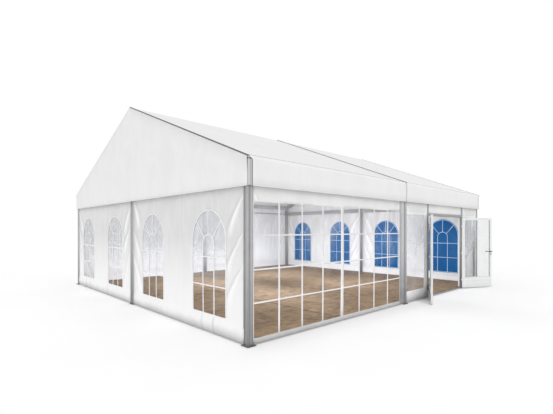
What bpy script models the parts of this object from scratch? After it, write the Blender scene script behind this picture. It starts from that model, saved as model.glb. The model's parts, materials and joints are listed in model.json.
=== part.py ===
"""A marquee tent of two bays: aluminium frame, PVC covers and walls, a double door and a floor deck.

Metres. The origin is on the ground under the middle of the tent, +X runs along the ridge, the gable end
with the clear windows is at -X, the long side with the door faces -Y, and +Z is up.
"""

import math

import bmesh
import bpy
from mathutils import Matrix, Vector

BAY = 4.5
HALF_LENGTH = BAY
HALF_WIDTH = 4.0
GAP = 0.0003
INSET = 0.0005
CUT_PAST = 0.05

RIDGE_Z = 4.37
SLOPE = 0.4103
VALANCE_Y = HALF_WIDTH + 0.09
VALANCE_Z = 2.28
COVER_THICK = 0.006
COVER_DROP = 0.0065
VALANCE_END_X = HALF_LENGTH - 0.002
VALANCE_TRIM = 0.03

POST = 0.10
POST_ROUND = 0.014
GABLE_POST = 0.08
PLATE_OVER = 0.03
PLATE_THICK = 0.012

RAFTER_HALF = 0.05
RAFTER_TOP = COVER_DROP + GAP
RAFTER_BOTTOM = 0.127
POST_TOP_DROP = 0.0203
RAIL_OUT = 0.08
RAIL_UP = 0.006
RAIL_DOWN = 0.03
FIN_HALF = 0.01
FIN_UP = 0.008
RAIL_END_FROM = HALF_WIDTH - 0.1

GABLE_COVER_X = HALF_LENGTH + 0.072
GABLE_COVER_Y = HALF_WIDTH + 0.06

PURLIN_HALF = 0.03
EAVE_PURLIN_Z = (2.58, 2.70)
GABLE_BEAM_Z = (2.31, 2.43)
RIDGE_PURLIN_HALF = 0.04
RIDGE_PURLIN_DEEP = 0.12

WALL_THICK = 0.006
WALL_OUT = PURLIN_HALF + GAP
WALL_FOOT = 0.015
FILM_THICK = 0.002
FILM_LAP = 0.03

WINDOW_WIDE = 0.93
WINDOW_Z = 0.30
WINDOW_SPRING = 1.47
WINDOW_RISE = 0.50
WINDOW_CENTRES = (1.02, 3.03)

PANORAMA_Z = (0.12, 2.06)
PANORAMA_EDGE = 0.02
SIDE_LAP = 0.018

DOOR_CENTRE = BAY / 2
DOOR_POST_FROM_CENTRE = 1.08
DOOR_POST = 0.08
LINTEL_Z = (2.0, 2.06)
THRESHOLD_HIGH = 0.018
SIDE_FILM_Z = (0.26, 2.01)
SIDE_FILM_EDGE = 0.05

HINGE_GAP = 0.008
HINGE_OUT = 0.012
HINGE_RADIUS = 0.007
HINGE_HEIGHTS = (0.25, 1.0, 1.75)
KNUCKLE = 0.03
BARREL = 0.04
KNUCKLE_GAP = 0.0005
HINGE_PLATE = 0.034
HINGE_PLATE_THICK = 0.003
WEB = (0.0025, 0.009)

LEAF_THICK = 0.04
LEAF_Z = (0.026, 1.992)
STILE = 0.055
LEAF_GLASS_Z = (0.305, 1.937)
KICK_Z = (0.075, 0.215)
KICK_DEEP = 0.007
GLASS_THICK = 0.008
GLASS_CLEAR = 0.0005
LEAF_OPEN = math.radians(155)

HANDLE_Z = 1.03
HANDLE_INSET = 0.0275
SPINDLE_RADIUS = 0.006
SPINDLE_CLEAR = 0.0005
ROSE_RADIUS = 0.018
ROSE_THICK = 0.008
LEVER = 0.115
LEVER_HALF = 0.009
LEVER_OUT = (0.034, 0.046)

DECK_HIGH = 0.04
DECK_SHY = 0.02
NOTCH_CLEAR = 0.0005

ARC_STEPS = 20
ROUND_STEPS = 16

COLOURS = {
    "aluminium": (0.42, 0.43, 0.44, 1.0),
    "pvc": (0.86, 0.87, 0.88, 1.0),
    "clear film": (0.75, 0.82, 0.86, 1.0),
    "blue film": (0.13, 0.38, 0.65, 1.0),
    "white paint": (0.9, 0.9, 0.9, 1.0),
    "glass": (0.7, 0.8, 0.85, 1.0),
    "steel": (0.35, 0.35, 0.36, 1.0),
    "floor board": (0.42, 0.32, 0.24, 1.0),
}


def clear_scene():
    for thing in list(bpy.data.objects):
        bpy.data.objects.remove(thing)


def material(name):
    found = bpy.data.materials.get(name)
    if found:
        return found
    made = bpy.data.materials.new(name)
    made.use_nodes = True
    shader = made.node_tree.nodes["Principled BSDF"]
    shader.inputs["Base Color"].default_value = COLOURS[name]
    shader.inputs["Metallic"].default_value = 1.0 if name in ("aluminium", "steel") else 0.0
    shader.inputs["Roughness"].default_value = 0.45
    return made


def add_object(name, mesh, kind):
    piece = bpy.data.objects.new(name, mesh)
    piece.data.materials.append(material(kind))
    bpy.context.scene.collection.objects.link(piece)
    return piece


def loft(name, rings, kind):
    """A closed solid through rings of points that all have the same count."""
    made = bmesh.new()
    rows = [[made.verts.new(point) for point in ring] for ring in rings]
    count = len(rings[0])
    for first, second in zip(rows, rows[1:]):
        for i in range(count):
            j = (i + 1) % count
            made.faces.new((first[i], first[j], second[j], second[i]))
    made.faces.new(rows[0])
    made.faces.new(rows[-1])
    bmesh.ops.recalc_face_normals(made, faces=made.faces)
    mesh = bpy.data.meshes.new(name)
    made.to_mesh(mesh)
    made.free()
    return add_object(name, mesh, kind)


def place(axis, along, first, second):
    if axis == "X":
        return (along, first, second)
    if axis == "Y":
        return (first, along, second)
    return (first, second, along)


def prism(name, axis, low, high, outline, kind):
    """The outline, in the other two axes in order, carried along one axis."""
    rings = [[place(axis, along, a, b) for a, b in outline] for along in (low, high)]
    return loft(name, rings, kind)


def box(name, x, y, z, kind):
    outline = [(x[0], y[0]), (x[1], y[0]), (x[1], y[1]), (x[0], y[1])]
    return prism(name, "Z", z[0], z[1], outline, kind)


def helper(piece):
    """Marks a piece as one that only cuts or joins another."""
    piece.hide_render = True
    piece.display_type = "WIRE"
    return piece


def change(target, helpers, operation):
    for item in helpers:
        helper(item)
        boolean = target.modifiers.new(operation.lower() + " " + item.name, "BOOLEAN")
        boolean.operation = operation
        boolean.solver = "EXACT"
        boolean.object = item
    return target


def settled(piece):
    """Turns a piece's modifiers into its mesh, so that it can be swung as one."""
    bpy.context.view_layer.update()
    graph = bpy.context.evaluated_depsgraph_get()
    mesh = bpy.data.meshes.new_from_object(piece.evaluated_get(graph))
    helpers = [boolean.object for boolean in piece.modifiers]
    piece.modifiers.clear()
    piece.data = mesh
    for item in helpers:
        bpy.data.objects.remove(item)
    return piece


def ordered(a, b):
    return (min(a, b), max(a, b))


def roof_z(y):
    return RIDGE_Z - SLOPE * abs(y)


def arc(centre, radii, start, end, steps):
    """Points on an ellipse's arc, angles in degrees."""
    points = []
    for i in range(steps + 1):
        angle = math.radians(start + (end - start) * i / steps)
        points.append((centre[0] + radii[0] * math.cos(angle), centre[1] + radii[1] * math.sin(angle)))
    return points


def rounded_square(x, y, half, radius):
    points = []
    for sx, sy, start in ((1, 1, 0), (-1, 1, 90), (-1, -1, 180), (1, -1, 270)):
        centre = (x + sx * (half - radius), y + sy * (half - radius))
        points += arc(centre, (radius, radius), start, start + 90, 3)
    return points


def side_post(name, x, side):
    """A post of a long side, its top cut to the roof's slope, on a foot plate."""
    outline = rounded_square(x, side * HALF_WIDTH, POST / 2, POST_ROUND)
    bottom = [(px, py, 0.0) for px, py in outline]
    top = [(px, py, roof_z(py) - POST_TOP_DROP) for px, py in outline]
    post = loft(name, [bottom, top], "aluminium")
    return change(post, [foot_plate(name, x, side * HALF_WIDTH, POST / 2 + PLATE_OVER)], "UNION")


def foot_plate(name, x, y, half):
    return box(name + " plate", (x - half, x + half), (y - half, y + half), (0.0, PLATE_THICK), "aluminium")


def gable_post(name, x):
    half = GABLE_POST / 2
    low = RAFTER_BOTTOM + GAP
    outline = [(-half, 0.0), (half, 0.0), (half, roof_z(half) - low), (0.0, RIDGE_Z - low)]
    outline.append((-half, roof_z(half) - low))
    post = prism(name, "X", x - half, x + half, outline, "aluminium")
    return change(post, [foot_plate(name, x, 0.0, half + PLATE_OVER)], "UNION")


def slope_bar(name, section, start, end, kind):
    """A bar that follows the roof from y=start to y=end. Its section is (x, height over the roof skin)."""
    rings = [[(x, y, roof_z(y) + up) for x, up in section] for y in (start, end)]
    return loft(name, rings, kind)


def end_rafter(name, end, side):
    """A rafter of a gable frame, with the rail that clamps both covers outside it."""
    x = end * HALF_LENGTH
    inner = x - end * RAFTER_HALF
    outer = x + end * RAFTER_HALF
    rail = x + end * RAIL_OUT
    section = [(outer, -RAFTER_BOTTOM), (inner, -RAFTER_BOTTOM), (inner, -RAFTER_TOP), (outer, -RAFTER_TOP)]
    section += [(outer, RAIL_UP), (rail, RAIL_UP), (rail, -RAIL_DOWN), (outer, -RAIL_DOWN)]
    start = side * GAP / 2
    stop = side * (HALF_WIDTH - POST / 2 - GAP)
    rafter = slope_bar(name, section, start, stop, "aluminium")
    low = x + end * (RAFTER_HALF + GAP)
    high = rail - end * INSET
    section = [(low, -RAIL_DOWN + INSET), (high, -RAIL_DOWN + INSET)]
    section += [(high, RAIL_UP - INSET), (low, RAIL_UP - INSET)]
    tail = slope_bar(name + " rail end", section, side * RAIL_END_FROM, side * VALANCE_Y, "aluminium")
    return change(rafter, [tail], "UNION")


def middle_rafter(name, side):
    """A rafter of the middle frame, with the rail that stands between the two roof covers."""
    section = [(-RAFTER_HALF, -RAFTER_BOTTOM), (RAFTER_HALF, -RAFTER_BOTTOM), (RAFTER_HALF, -RAFTER_TOP)]
    section += [(FIN_HALF, -RAFTER_TOP), (FIN_HALF, FIN_UP), (-FIN_HALF, FIN_UP), (-FIN_HALF, -RAFTER_TOP)]
    section.append((-RAFTER_HALF, -RAFTER_TOP))
    start = side * GAP / 2
    stop = side * (HALF_WIDTH - POST / 2 - GAP)
    rafter = slope_bar(name, section, start, stop, "aluminium")
    thin = FIN_HALF - INSET
    section = [(-thin, -POST_TOP_DROP + GAP), (thin, -POST_TOP_DROP + GAP)]
    section += [(thin, FIN_UP - INSET), (-thin, FIN_UP - INSET)]
    tail = slope_bar(name + " rail end", section, side * RAIL_END_FROM, side * VALANCE_Y, "aluminium")
    return change(rafter, [tail], "UNION")


def ridge_purlin(name, bay):
    x = ordered(bay * (POST / 2 + GAP), bay * (HALF_LENGTH - POST / 2 - GAP))
    half = RIDGE_PURLIN_HALF
    low = RIDGE_Z - RIDGE_PURLIN_DEEP
    shoulder = roof_z(half) - RAFTER_TOP
    outline = [(-half, low), (half, low), (half, shoulder), (0.0, RIDGE_Z - RAFTER_TOP), (-half, shoulder)]
    return prism(name, "X", x[0], x[1], outline, "aluminium")


def bay_span(bay):
    """Along the ridge between the posts of a bay, which is -1 or 1."""
    return ordered(bay * (POST / 2 + GAP), bay * (HALF_LENGTH - POST / 2 - GAP))


def gable_span(side):
    """Across the tent between the centre post of a gable and its corner post."""
    return ordered(side * (GABLE_POST / 2 + GAP), side * (HALF_WIDTH - POST / 2 - GAP))


def eave_purlin(name, bay, side):
    y = ordered(side * (HALF_WIDTH - PURLIN_HALF), side * (HALF_WIDTH + PURLIN_HALF))
    return box(name, bay_span(bay), y, EAVE_PURLIN_Z, "aluminium")


def gable_beam(name, end, side):
    x = ordered(end * (HALF_LENGTH - PURLIN_HALF), end * (HALF_LENGTH + PURLIN_HALF))
    return box(name, x, gable_span(side), GABLE_BEAM_Z, "aluminium")


def roof_cover(name, bay):
    """One bent sheet over a bay: the two slopes and the two valances."""
    inner_y = VALANCE_Y - COVER_THICK
    outside = [(-VALANCE_Y, VALANCE_Z), (-VALANCE_Y, roof_z(VALANCE_Y)), (0.0, RIDGE_Z)]
    outside += [(VALANCE_Y, roof_z(VALANCE_Y)), (VALANCE_Y, VALANCE_Z)]
    inside = [(inner_y, VALANCE_Z), (inner_y, roof_z(inner_y) - COVER_DROP), (0.0, RIDGE_Z - COVER_DROP)]
    inside += [(-inner_y, roof_z(inner_y) - COVER_DROP), (-inner_y, VALANCE_Z)]
    x = ordered(bay * (FIN_HALF + GAP), bay * (HALF_LENGTH + RAFTER_HALF - GAP))
    cover = prism(name, "X", x[0], x[1], outside + inside, "pvc")
    trims = []
    for side in (-1, 1):
        trim_x = ordered(bay * VALANCE_END_X, bay * (HALF_LENGTH + POST))
        trim_y = ordered(side * (inner_y - VALANCE_TRIM), side * (VALANCE_Y + CUT_PAST))
        trim_z = (VALANCE_Z - CUT_PAST, roof_z(VALANCE_Y) - VALANCE_TRIM)
        trims.append(box(f"{name} trim {side}", trim_x, trim_y, trim_z, "pvc"))
    return change(cover, trims, "DIFFERENCE")


def gable_cover(name, end):
    """The cover's end: a triangle over a band, hung under the rafter rail."""
    drop = RAIL_DOWN + GAP
    edge = GABLE_COVER_Y
    outline = [(-edge, VALANCE_Z), (edge, VALANCE_Z), (edge, roof_z(edge) - drop), (0.0, RIDGE_Z - drop)]
    outline.append((-edge, roof_z(edge) - drop))
    x = ordered(end * GABLE_COVER_X, end * (GABLE_COVER_X + COVER_THICK))
    return prism(name, "X", x[0], x[1], outline, "pvc")


def window_outline(centre):
    half = WINDOW_WIDE / 2
    arch = arc((centre, WINDOW_SPRING), (half, WINDOW_RISE), 0, 180, ARC_STEPS)
    return [(centre - half, WINDOW_Z), (centre + half, WINDOW_Z)] + arch


def gable_wall(name, end, side):
    x = ordered(end * (HALF_LENGTH + WALL_OUT), end * (HALF_LENGTH + WALL_OUT + WALL_THICK))
    wall = box(name, x, gable_span(side), (WALL_FOOT, GABLE_BEAM_Z[1]), "pvc")
    cuts = []
    for centre in WINDOW_CENTRES:
        outline = window_outline(side * centre)
        cuts.append(prism(f"{name} window {centre}", "X", x[0] - CUT_PAST, x[1] + CUT_PAST, outline, "pvc"))
    return change(wall, cuts, "DIFFERENCE")


def gable_film(name, end, side, kind):
    """The film of a gable wall, welded to its inner face behind both windows."""
    face = HALF_LENGTH + WALL_OUT - GAP
    x = ordered(end * (face - FILM_THICK), end * face)
    half = WINDOW_WIDE / 2 + FILM_LAP
    y = ordered(side * (WINDOW_CENTRES[0] - half), side * (WINDOW_CENTRES[1] + half))
    z = (WINDOW_Z - FILM_LAP, WINDOW_SPRING + WINDOW_RISE + FILM_LAP)
    return box(name, x, y, z, kind)


def side_wall(name, x, side, z, hole=None):
    """A wall panel of a long side, with one square opening where hole says."""
    y = ordered(side * (HALF_WIDTH + WALL_OUT), side * (HALF_WIDTH + WALL_OUT + WALL_THICK))
    wall = box(name, x, y, z, "pvc")
    if hole is None:
        return wall
    cut = box(name + " opening", hole[0], (y[0] - CUT_PAST, y[1] + CUT_PAST), hole[1], "pvc")
    return change(wall, [cut], "DIFFERENCE")


def side_film(name, hole, side):
    """The film behind a side wall's square opening."""
    face = HALF_WIDTH + WALL_OUT - GAP
    y = ordered(side * (face - FILM_THICK), side * face)
    x = (hole[0][0] - SIDE_LAP, hole[0][1] + SIDE_LAP)
    z = (hole[1][0] - FILM_LAP, hole[1][1] + FILM_LAP)
    return box(name, x, y, z, "clear film")


def door_post_x(side):
    return DOOR_CENTRE + side * DOOR_POST_FROM_CENTRE


def hinge_x(side):
    return DOOR_CENTRE + side * (DOOR_POST_FROM_CENTRE - DOOR_POST / 2 - HINGE_GAP / 2)


def hinge_y():
    return -HALF_WIDTH - DOOR_POST / 2 - HINGE_OUT


def rod(name, centre, radius, z, kind="steel"):
    return prism(name, "Z", z[0], z[1], arc(centre, (radius, radius), 0, 360, ROUND_STEPS)[:-1], kind)


def hinge_half(name, side, towards, height, long):
    """A rod on the hinge line with the plate that screws it to the post or the leaf."""
    x, y = hinge_x(side), hinge_y()
    z = (height - long / 2, height + long / 2)
    face = -HALF_WIDTH - DOOR_POST / 2
    plate_x = ordered(x + towards * WEB[0] * 2, x + towards * HINGE_PLATE)
    web_x = ordered(x + towards * WEB[0], x + towards * WEB[1])
    plate = box(name + " plate", plate_x, (face - HINGE_PLATE_THICK, face + HINGE_PLATE_THICK), z, "steel")
    web = box(name + " web", web_x, (y, face - INSET), (z[0] + INSET, z[1] - INSET), "steel")
    return [rod(name + " rod", (x, y), HINGE_RADIUS, z), plate, web]


def door_frame(name):
    """Two tall posts, the lintel and the threshold of the door, joined as one frame."""
    y = (-HALF_WIDTH - DOOR_POST / 2, -HALF_WIDTH + DOOR_POST / 2)
    top = EAVE_PURLIN_Z[0] - GAP
    posts = []
    for side, word in ((-1, "left"), (1, "right")):
        x = (door_post_x(side) - DOOR_POST / 2, door_post_x(side) + DOOR_POST / 2)
        posts.append(box(f"{name} {word} post", x, y, (0.0, top), "aluminium"))
    frame, other = posts
    frame.name = name
    inner = (door_post_x(-1), door_post_x(1))
    inset = (y[0] + INSET, y[1] - INSET)
    bars = [box(name + " lintel", inner, inset, LINTEL_Z, "aluminium")]
    bars.append(box(name + " threshold", inner, inset, (INSET, THRESHOLD_HIGH), "aluminium"))
    for side in (-1, 1):
        for height in HINGE_HEIGHTS:
            offset = (BARREL + KNUCKLE) / 2 + KNUCKLE_GAP
            for way in (-1, 1):
                label = f"{name} hinge {side} {height} {way}"
                bars += hinge_half(label, side, side, height + way * offset, KNUCKLE)
    return change(frame, [other] + bars, "UNION")


def hung(leaf, side):
    """Puts the origin of a closed leaf on its hinge line, and swings the leaf open there."""
    hinge = Vector((hinge_x(side), hinge_y(), 0.0))
    leaf.data.transform(Matrix.Translation(-hinge))
    leaf.location = hinge
    leaf.rotation_euler = (0.0, 0.0, side * LEAF_OPEN)
    return leaf


def fitted(piece, leaf, side):
    """Hangs a piece that was made on the closed leaf from that leaf."""
    piece.data.transform(Matrix.Translation(-Vector((hinge_x(side), hinge_y(), 0.0))))
    piece.parent = leaf
    return piece


def leaf_x(side):
    """From the hinge edge to the meeting edge of a closed leaf."""
    edge = hinge_x(side) - side * HINGE_GAP / 2
    return ordered(edge, DOOR_CENTRE + side * HINGE_GAP / 2)


def door_leaf(name, side):
    face = -HALF_WIDTH - DOOR_POST / 2
    x, y = leaf_x(side), (face, face + LEAF_THICK)
    leaf = box(name, x, y, LEAF_Z, "white paint")
    between = (x[0] + STILE, x[1] - STILE)
    cuts = [box(name + " pane", between, (y[0] - CUT_PAST, y[1] + CUT_PAST), LEAF_GLASS_Z, "glass")]
    for outward, start in ((-1, y[0]), (1, y[1])):
        deep = ordered(start + outward * CUT_PAST, start - outward * KICK_DEEP)
        cuts.append(box(f"{name} kick {outward}", between, deep, KICK_Z, "white paint"))
    if side > 0:
        cuts.append(spindle(name + " bore", side, SPINDLE_RADIUS + SPINDLE_CLEAR, CUT_PAST))
    joined = []
    for height in HINGE_HEIGHTS:
        joined += hinge_half(f"{name} hinge {height}", side, -side, height, BARREL)
    change(leaf, cuts, "DIFFERENCE")
    change(leaf, joined, "UNION")
    return hung(settled(leaf), side)


def leaf_glass(name, leaf, side):
    face = -HALF_WIDTH - DOOR_POST / 2
    x = leaf_x(side)
    middle = face + LEAF_THICK / 2
    pane_x = (x[0] + STILE + GLASS_CLEAR, x[1] - STILE - GLASS_CLEAR)
    pane_z = (LEAF_GLASS_Z[0] + GLASS_CLEAR, LEAF_GLASS_Z[1] - GLASS_CLEAR)
    pane = box(name, pane_x, (middle - GLASS_THICK / 2, middle + GLASS_THICK / 2), pane_z, "glass")
    return fitted(pane, leaf, side)


def handle_x(side):
    return DOOR_CENTRE + side * (HINGE_GAP / 2 + HANDLE_INSET)


def spindle(name, side, radius, over):
    face = -HALF_WIDTH - DOOR_POST / 2
    outline = arc((handle_x(side), HANDLE_Z), (radius, radius), 0, 360, ROUND_STEPS)[:-1]
    return prism(name, "Y", face - over, face + LEAF_THICK + over, outline, "steel")


def door_handle(name, leaf, side):
    """A lever on each face of the leaf, joined through it by the spindle."""
    face = -HALF_WIDTH - DOOR_POST / 2
    x = handle_x(side)
    handle = spindle(name, side, SPINDLE_RADIUS, (LEVER_OUT[0] + LEVER_OUT[1]) / 2)
    joined = []
    for way, start in ((-1, face), (1, face + LEAF_THICK)):
        rose_y = ordered(start + way * GAP, start + way * ROSE_THICK)
        outline = arc((x, HANDLE_Z), (ROSE_RADIUS, ROSE_RADIUS), 0, 360, ROUND_STEPS)[:-1]
        joined.append(prism(f"{name} rose {way}", "Y", rose_y[0], rose_y[1], outline, "steel"))
        lever_x = ordered(x - side * LEVER_HALF, x + side * LEVER)
        lever_y = ordered(start + way * LEVER_OUT[0], start + way * LEVER_OUT[1])
        lever_z = (HANDLE_Z - LEVER_HALF, HANDLE_Z + LEVER_HALF)
        joined.append(box(f"{name} lever {way}", lever_x, lever_y, lever_z, "steel"))
    change(handle, joined, "UNION")
    return fitted(settled(handle), leaf, side)


def floor_deck(name):
    """The wooden deck, cut round the posts, their foot plates and the door's threshold."""
    x, y = HALF_LENGTH + DECK_SHY, HALF_WIDTH + DECK_SHY
    deck = box(name, (-x, x), (-y, y), (0.0, DECK_HIGH), "floor board")
    notches = []
    reach = POST / 2 + PLATE_OVER + NOTCH_CLEAR
    for px in (-HALF_LENGTH, 0.0, HALF_LENGTH):
        for py in (-HALF_WIDTH, HALF_WIDTH):
            notches.append(notch(f"{name} notch {px} {py}", px, py, reach, reach))
    reach = GABLE_POST / 2 + PLATE_OVER + NOTCH_CLEAR
    for px in (-HALF_LENGTH, HALF_LENGTH):
        notches.append(notch(f"{name} notch {px}", px, 0.0, reach, reach))
    wide = DOOR_POST_FROM_CENTRE + DOOR_POST / 2 + NOTCH_CLEAR
    deep = DOOR_POST / 2 + NOTCH_CLEAR
    notches.append(notch(name + " notch at the door", DOOR_CENTRE, -HALF_WIDTH, wide, deep))
    return change(deck, notches, "DIFFERENCE")


def notch(name, x, y, half_x, half_y):
    z = (-CUT_PAST, DECK_HIGH + CUT_PAST)
    return box(name, (x - half_x, x + half_x), (y - half_y, y + half_y), z, "floor board")


def build_frame():
    for x, place_word in ((-HALF_LENGTH, "near"), (0.0, "middle"), (HALF_LENGTH, "far")):
        for side, side_word in ((-1, "front"), (1, "rear")):
            side_post(f"post_{place_word}_{side_word}", x, side)
            if x == 0.0:
                middle_rafter(f"rafter_{place_word}_{side_word}", side)
            else:
                end_rafter(f"rafter_{place_word}_{side_word}", math.copysign(1, x), side)
    for end, word in ((-1, "near"), (1, "far")):
        gable_post(f"gable_post_{word}", end * HALF_LENGTH)
        ridge_purlin(f"ridge_purlin_{word}", end)
        for side, side_word in ((-1, "front"), (1, "rear")):
            eave_purlin(f"eave_purlin_{word}_{side_word}", end, side)
            gable_beam(f"gable_beam_{word}_{side_word}", end, side)


def build_covers():
    for end, word in ((-1, "near"), (1, "far")):
        roof_cover(f"roof_cover_{word}", end)
        gable_cover(f"gable_cover_{word}", end)


def build_walls():
    for end, word, kind in ((-1, "near", "clear film"), (1, "far", "blue film")):
        for side, side_word in ((-1, "front"), (1, "rear")):
            gable_wall(f"gable_wall_{word}_{side_word}", end, side)
            gable_film(f"gable_film_{word}_{side_word}", end, side, kind)
        side_wall(f"rear_wall_{word}", bay_span(end), 1, (WALL_FOOT, EAVE_PURLIN_Z[1]))
    x = bay_span(-1)
    hole = ((x[0] + PANORAMA_EDGE, x[1] - PANORAMA_EDGE), PANORAMA_Z)
    side_wall("panorama_wall", x, -1, (WALL_FOOT, EAVE_PURLIN_Z[1]), hole)
    side_film("panorama_film", hole, -1)


def build_door_bay():
    door_frame("door_frame")
    bay = bay_span(1)
    edge = DOOR_POST / 2 + GAP
    spans = {"left": (bay[0], door_post_x(-1) - edge), "right": (door_post_x(1) + edge, bay[1])}
    for word, x in spans.items():
        hole = ((x[0] + SIDE_FILM_EDGE, x[1] - SIDE_FILM_EDGE), SIDE_FILM_Z)
        side_wall(f"door_side_wall_{word}", x, -1, (WALL_FOOT, EAVE_PURLIN_Z[1]), hole)
        side_film(f"door_side_film_{word}", hole, -1)
    x = (door_post_x(-1) + edge, door_post_x(1) - edge)
    side_wall("transom_panel", x, -1, (LINTEL_Z[1] + GAP, EAVE_PURLIN_Z[1]))
    for side, word in ((-1, "left"), (1, "right")):
        leaf = door_leaf(f"door_leaf_{word}", side)
        leaf_glass(f"door_glass_{word}", leaf, side)
        if side > 0:
            door_handle("door_handle", leaf, side)


def main():
    clear_scene()
    bpy.context.scene.unit_settings.scale_length = 1.0
    build_frame()
    build_covers()
    build_walls()
    build_door_bay()
    floor_deck("floor_deck")


main()
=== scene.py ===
import json
import math
import random

import bmesh
import bpy
import numpy as np
from mathutils import Matrix, Vector, noise
from mathutils.geometry import delaunay_2d_cdt

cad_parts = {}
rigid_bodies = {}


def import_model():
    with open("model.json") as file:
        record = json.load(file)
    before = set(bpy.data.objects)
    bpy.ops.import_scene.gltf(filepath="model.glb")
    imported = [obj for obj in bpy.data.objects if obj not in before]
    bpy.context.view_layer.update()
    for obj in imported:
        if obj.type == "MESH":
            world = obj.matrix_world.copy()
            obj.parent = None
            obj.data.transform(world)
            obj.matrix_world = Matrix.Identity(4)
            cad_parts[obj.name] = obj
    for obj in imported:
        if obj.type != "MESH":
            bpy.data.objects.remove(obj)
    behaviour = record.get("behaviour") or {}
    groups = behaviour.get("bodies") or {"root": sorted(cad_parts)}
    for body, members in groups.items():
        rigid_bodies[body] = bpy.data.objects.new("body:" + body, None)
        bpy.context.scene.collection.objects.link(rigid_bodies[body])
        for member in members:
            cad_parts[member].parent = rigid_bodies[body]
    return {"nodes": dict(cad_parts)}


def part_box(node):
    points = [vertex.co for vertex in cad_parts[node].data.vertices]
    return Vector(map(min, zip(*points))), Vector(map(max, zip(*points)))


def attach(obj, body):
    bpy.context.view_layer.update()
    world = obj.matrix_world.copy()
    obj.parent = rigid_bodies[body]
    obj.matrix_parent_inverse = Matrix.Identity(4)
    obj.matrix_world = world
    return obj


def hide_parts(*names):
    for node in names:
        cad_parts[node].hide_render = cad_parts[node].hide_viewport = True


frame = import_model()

bl_info = {
    "name": "Marquee tent",
    "version": (1, 0, 0),
    "blender": (4, 5, 0),
    "location": "3D View > Sidebar > Marquee",
    "description": "Dresses a two-bay marquee with its covers, walls, windows, door and floor",
    "category": "Object",
}

for leftover in [o for o in bpy.data.objects if o.name in ("Cube", "Camera", "Light")]:
    bpy.data.objects.remove(leftover)

# The marquee's own sizes, in metres. The near end is at -X and the front is at -Y.
RIDGE_HIGH = 4.37
ROOF_SLOPE = 0.4103
EAVE_OUT = 4.09
VALANCE_END = 4.498
REAR_COVER = 0.034
FRONT_COVER = 0.022
HEM_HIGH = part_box("roof_cover_near")[0].z
WALL_OUT_X = 4.5333
WALL_OUT_Y = 4.0333
WALL_FOOT = 0.015
FOOT_DROP = 0.010
TRACK_WIDE = 0.050
CORNER_TRACK = 0.020
LEFT_TRACK = 0.165
RIGHT_TRACK = 0.040
POST_LINES = (-4.5, 0.0, 4.5)
SIDE_LINE = 4.0
PANEL_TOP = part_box("floor_deck")[1].z
WINDOW_WIDE = 0.93
WINDOW_FOOT = 0.30
WINDOW_SPRING = 1.47
WINDOW_RISE = 0.50
WINDOW_MIDDLES = (1.02, 3.03)
PANORAMA_FOOT = 0.102
PANORAMA_TOP = 2.06
HINGES = {"left": Vector((1.214, -4.052, 0.0)), "right": Vector((3.286, -4.052, 0.0))}
LEAF_OPEN = math.radians(155.0)
ENDS = {"near": -1, "far": 1}
SIDES = {"front": -1, "rear": 1}
# Name of the point attribute that holds painted light, above 0, and painted shade, below 0.
PAINTED_SHADING = "painted shading"


class TentSizes(bpy.types.PropertyGroup):
    """Sizes of the marquee's soft parts and small parts."""
    roof_sag: bpy.props.FloatProperty(
        name="Roof sag", description="How far the roof cloth hangs between two frames",
        default=0.022, min=0.0, max=0.05, unit="LENGTH")
    valance_wave: bpy.props.FloatProperty(
        name="Valance wave", description="How far the hanging edge of the roof waves in and out",
        default=0.007, min=0.0, max=0.02, unit="LENGTH")
    wall_fold: bpy.props.FloatProperty(
        name="Wall fold", description="Height of the pulled folds beside the posts",
        default=0.026, min=0.0, max=0.04, unit="LENGTH")
    wall_billow: bpy.props.FloatProperty(
        name="Wall billow", description="How far a wall stands out at its middle",
        default=0.012, min=0.0, max=0.02, unit="LENGTH")
    hem_bulge: bpy.props.FloatProperty(
        name="Hem bulge", description="How far the loose foot of a wall rolls out",
        default=0.024, min=0.0, max=0.03, unit="LENGTH")
    film_crinkle: bpy.props.FloatProperty(
        name="Film crinkle", description="Height of the crinkles in the clear windows",
        default=0.004, min=0.0, max=0.01, unit="LENGTH")
    window_bar: bpy.props.FloatProperty(
        name="Window bar", description="Width of the white bars of the arched windows",
        default=0.018, min=0.01, max=0.05, unit="LENGTH")
    window_border: bpy.props.FloatProperty(
        name="Window border", description="Width of the welded border round an arched window",
        default=0.014, min=0.01, max=0.05, unit="LENGTH")
    panorama_bar: bpy.props.FloatProperty(
        name="Panorama upright", description="Width of the uprights of the panorama wall",
        default=0.034, min=0.01, max=0.08, unit="LENGTH")
    panorama_middle: bpy.props.FloatProperty(
        name="Panorama middle", description="Width of the panorama wall's middle upright",
        default=0.085, min=0.02, max=0.15, unit="LENGTH")
    panorama_rail: bpy.props.FloatProperty(
        name="Panorama rail", description="Width of the level bars of the panorama wall",
        default=0.022, min=0.01, max=0.08, unit="LENGTH")
    cloth_thick: bpy.props.FloatProperty(
        name="Cloth thickness", description="Thickness of the coated cloth",
        default=0.0024, min=0.001, max=0.006, unit="LENGTH")
    panel_wide: bpy.props.FloatProperty(
        name="Floor panel width", description="Width of one floor panel",
        default=1.005, min=0.4, max=1.5, unit="LENGTH")
    panel_joint: bpy.props.FloatProperty(
        name="Floor joint", description="Open joint between two floor panels",
        default=0.006, min=0.001, max=0.01, unit="LENGTH")


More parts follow.
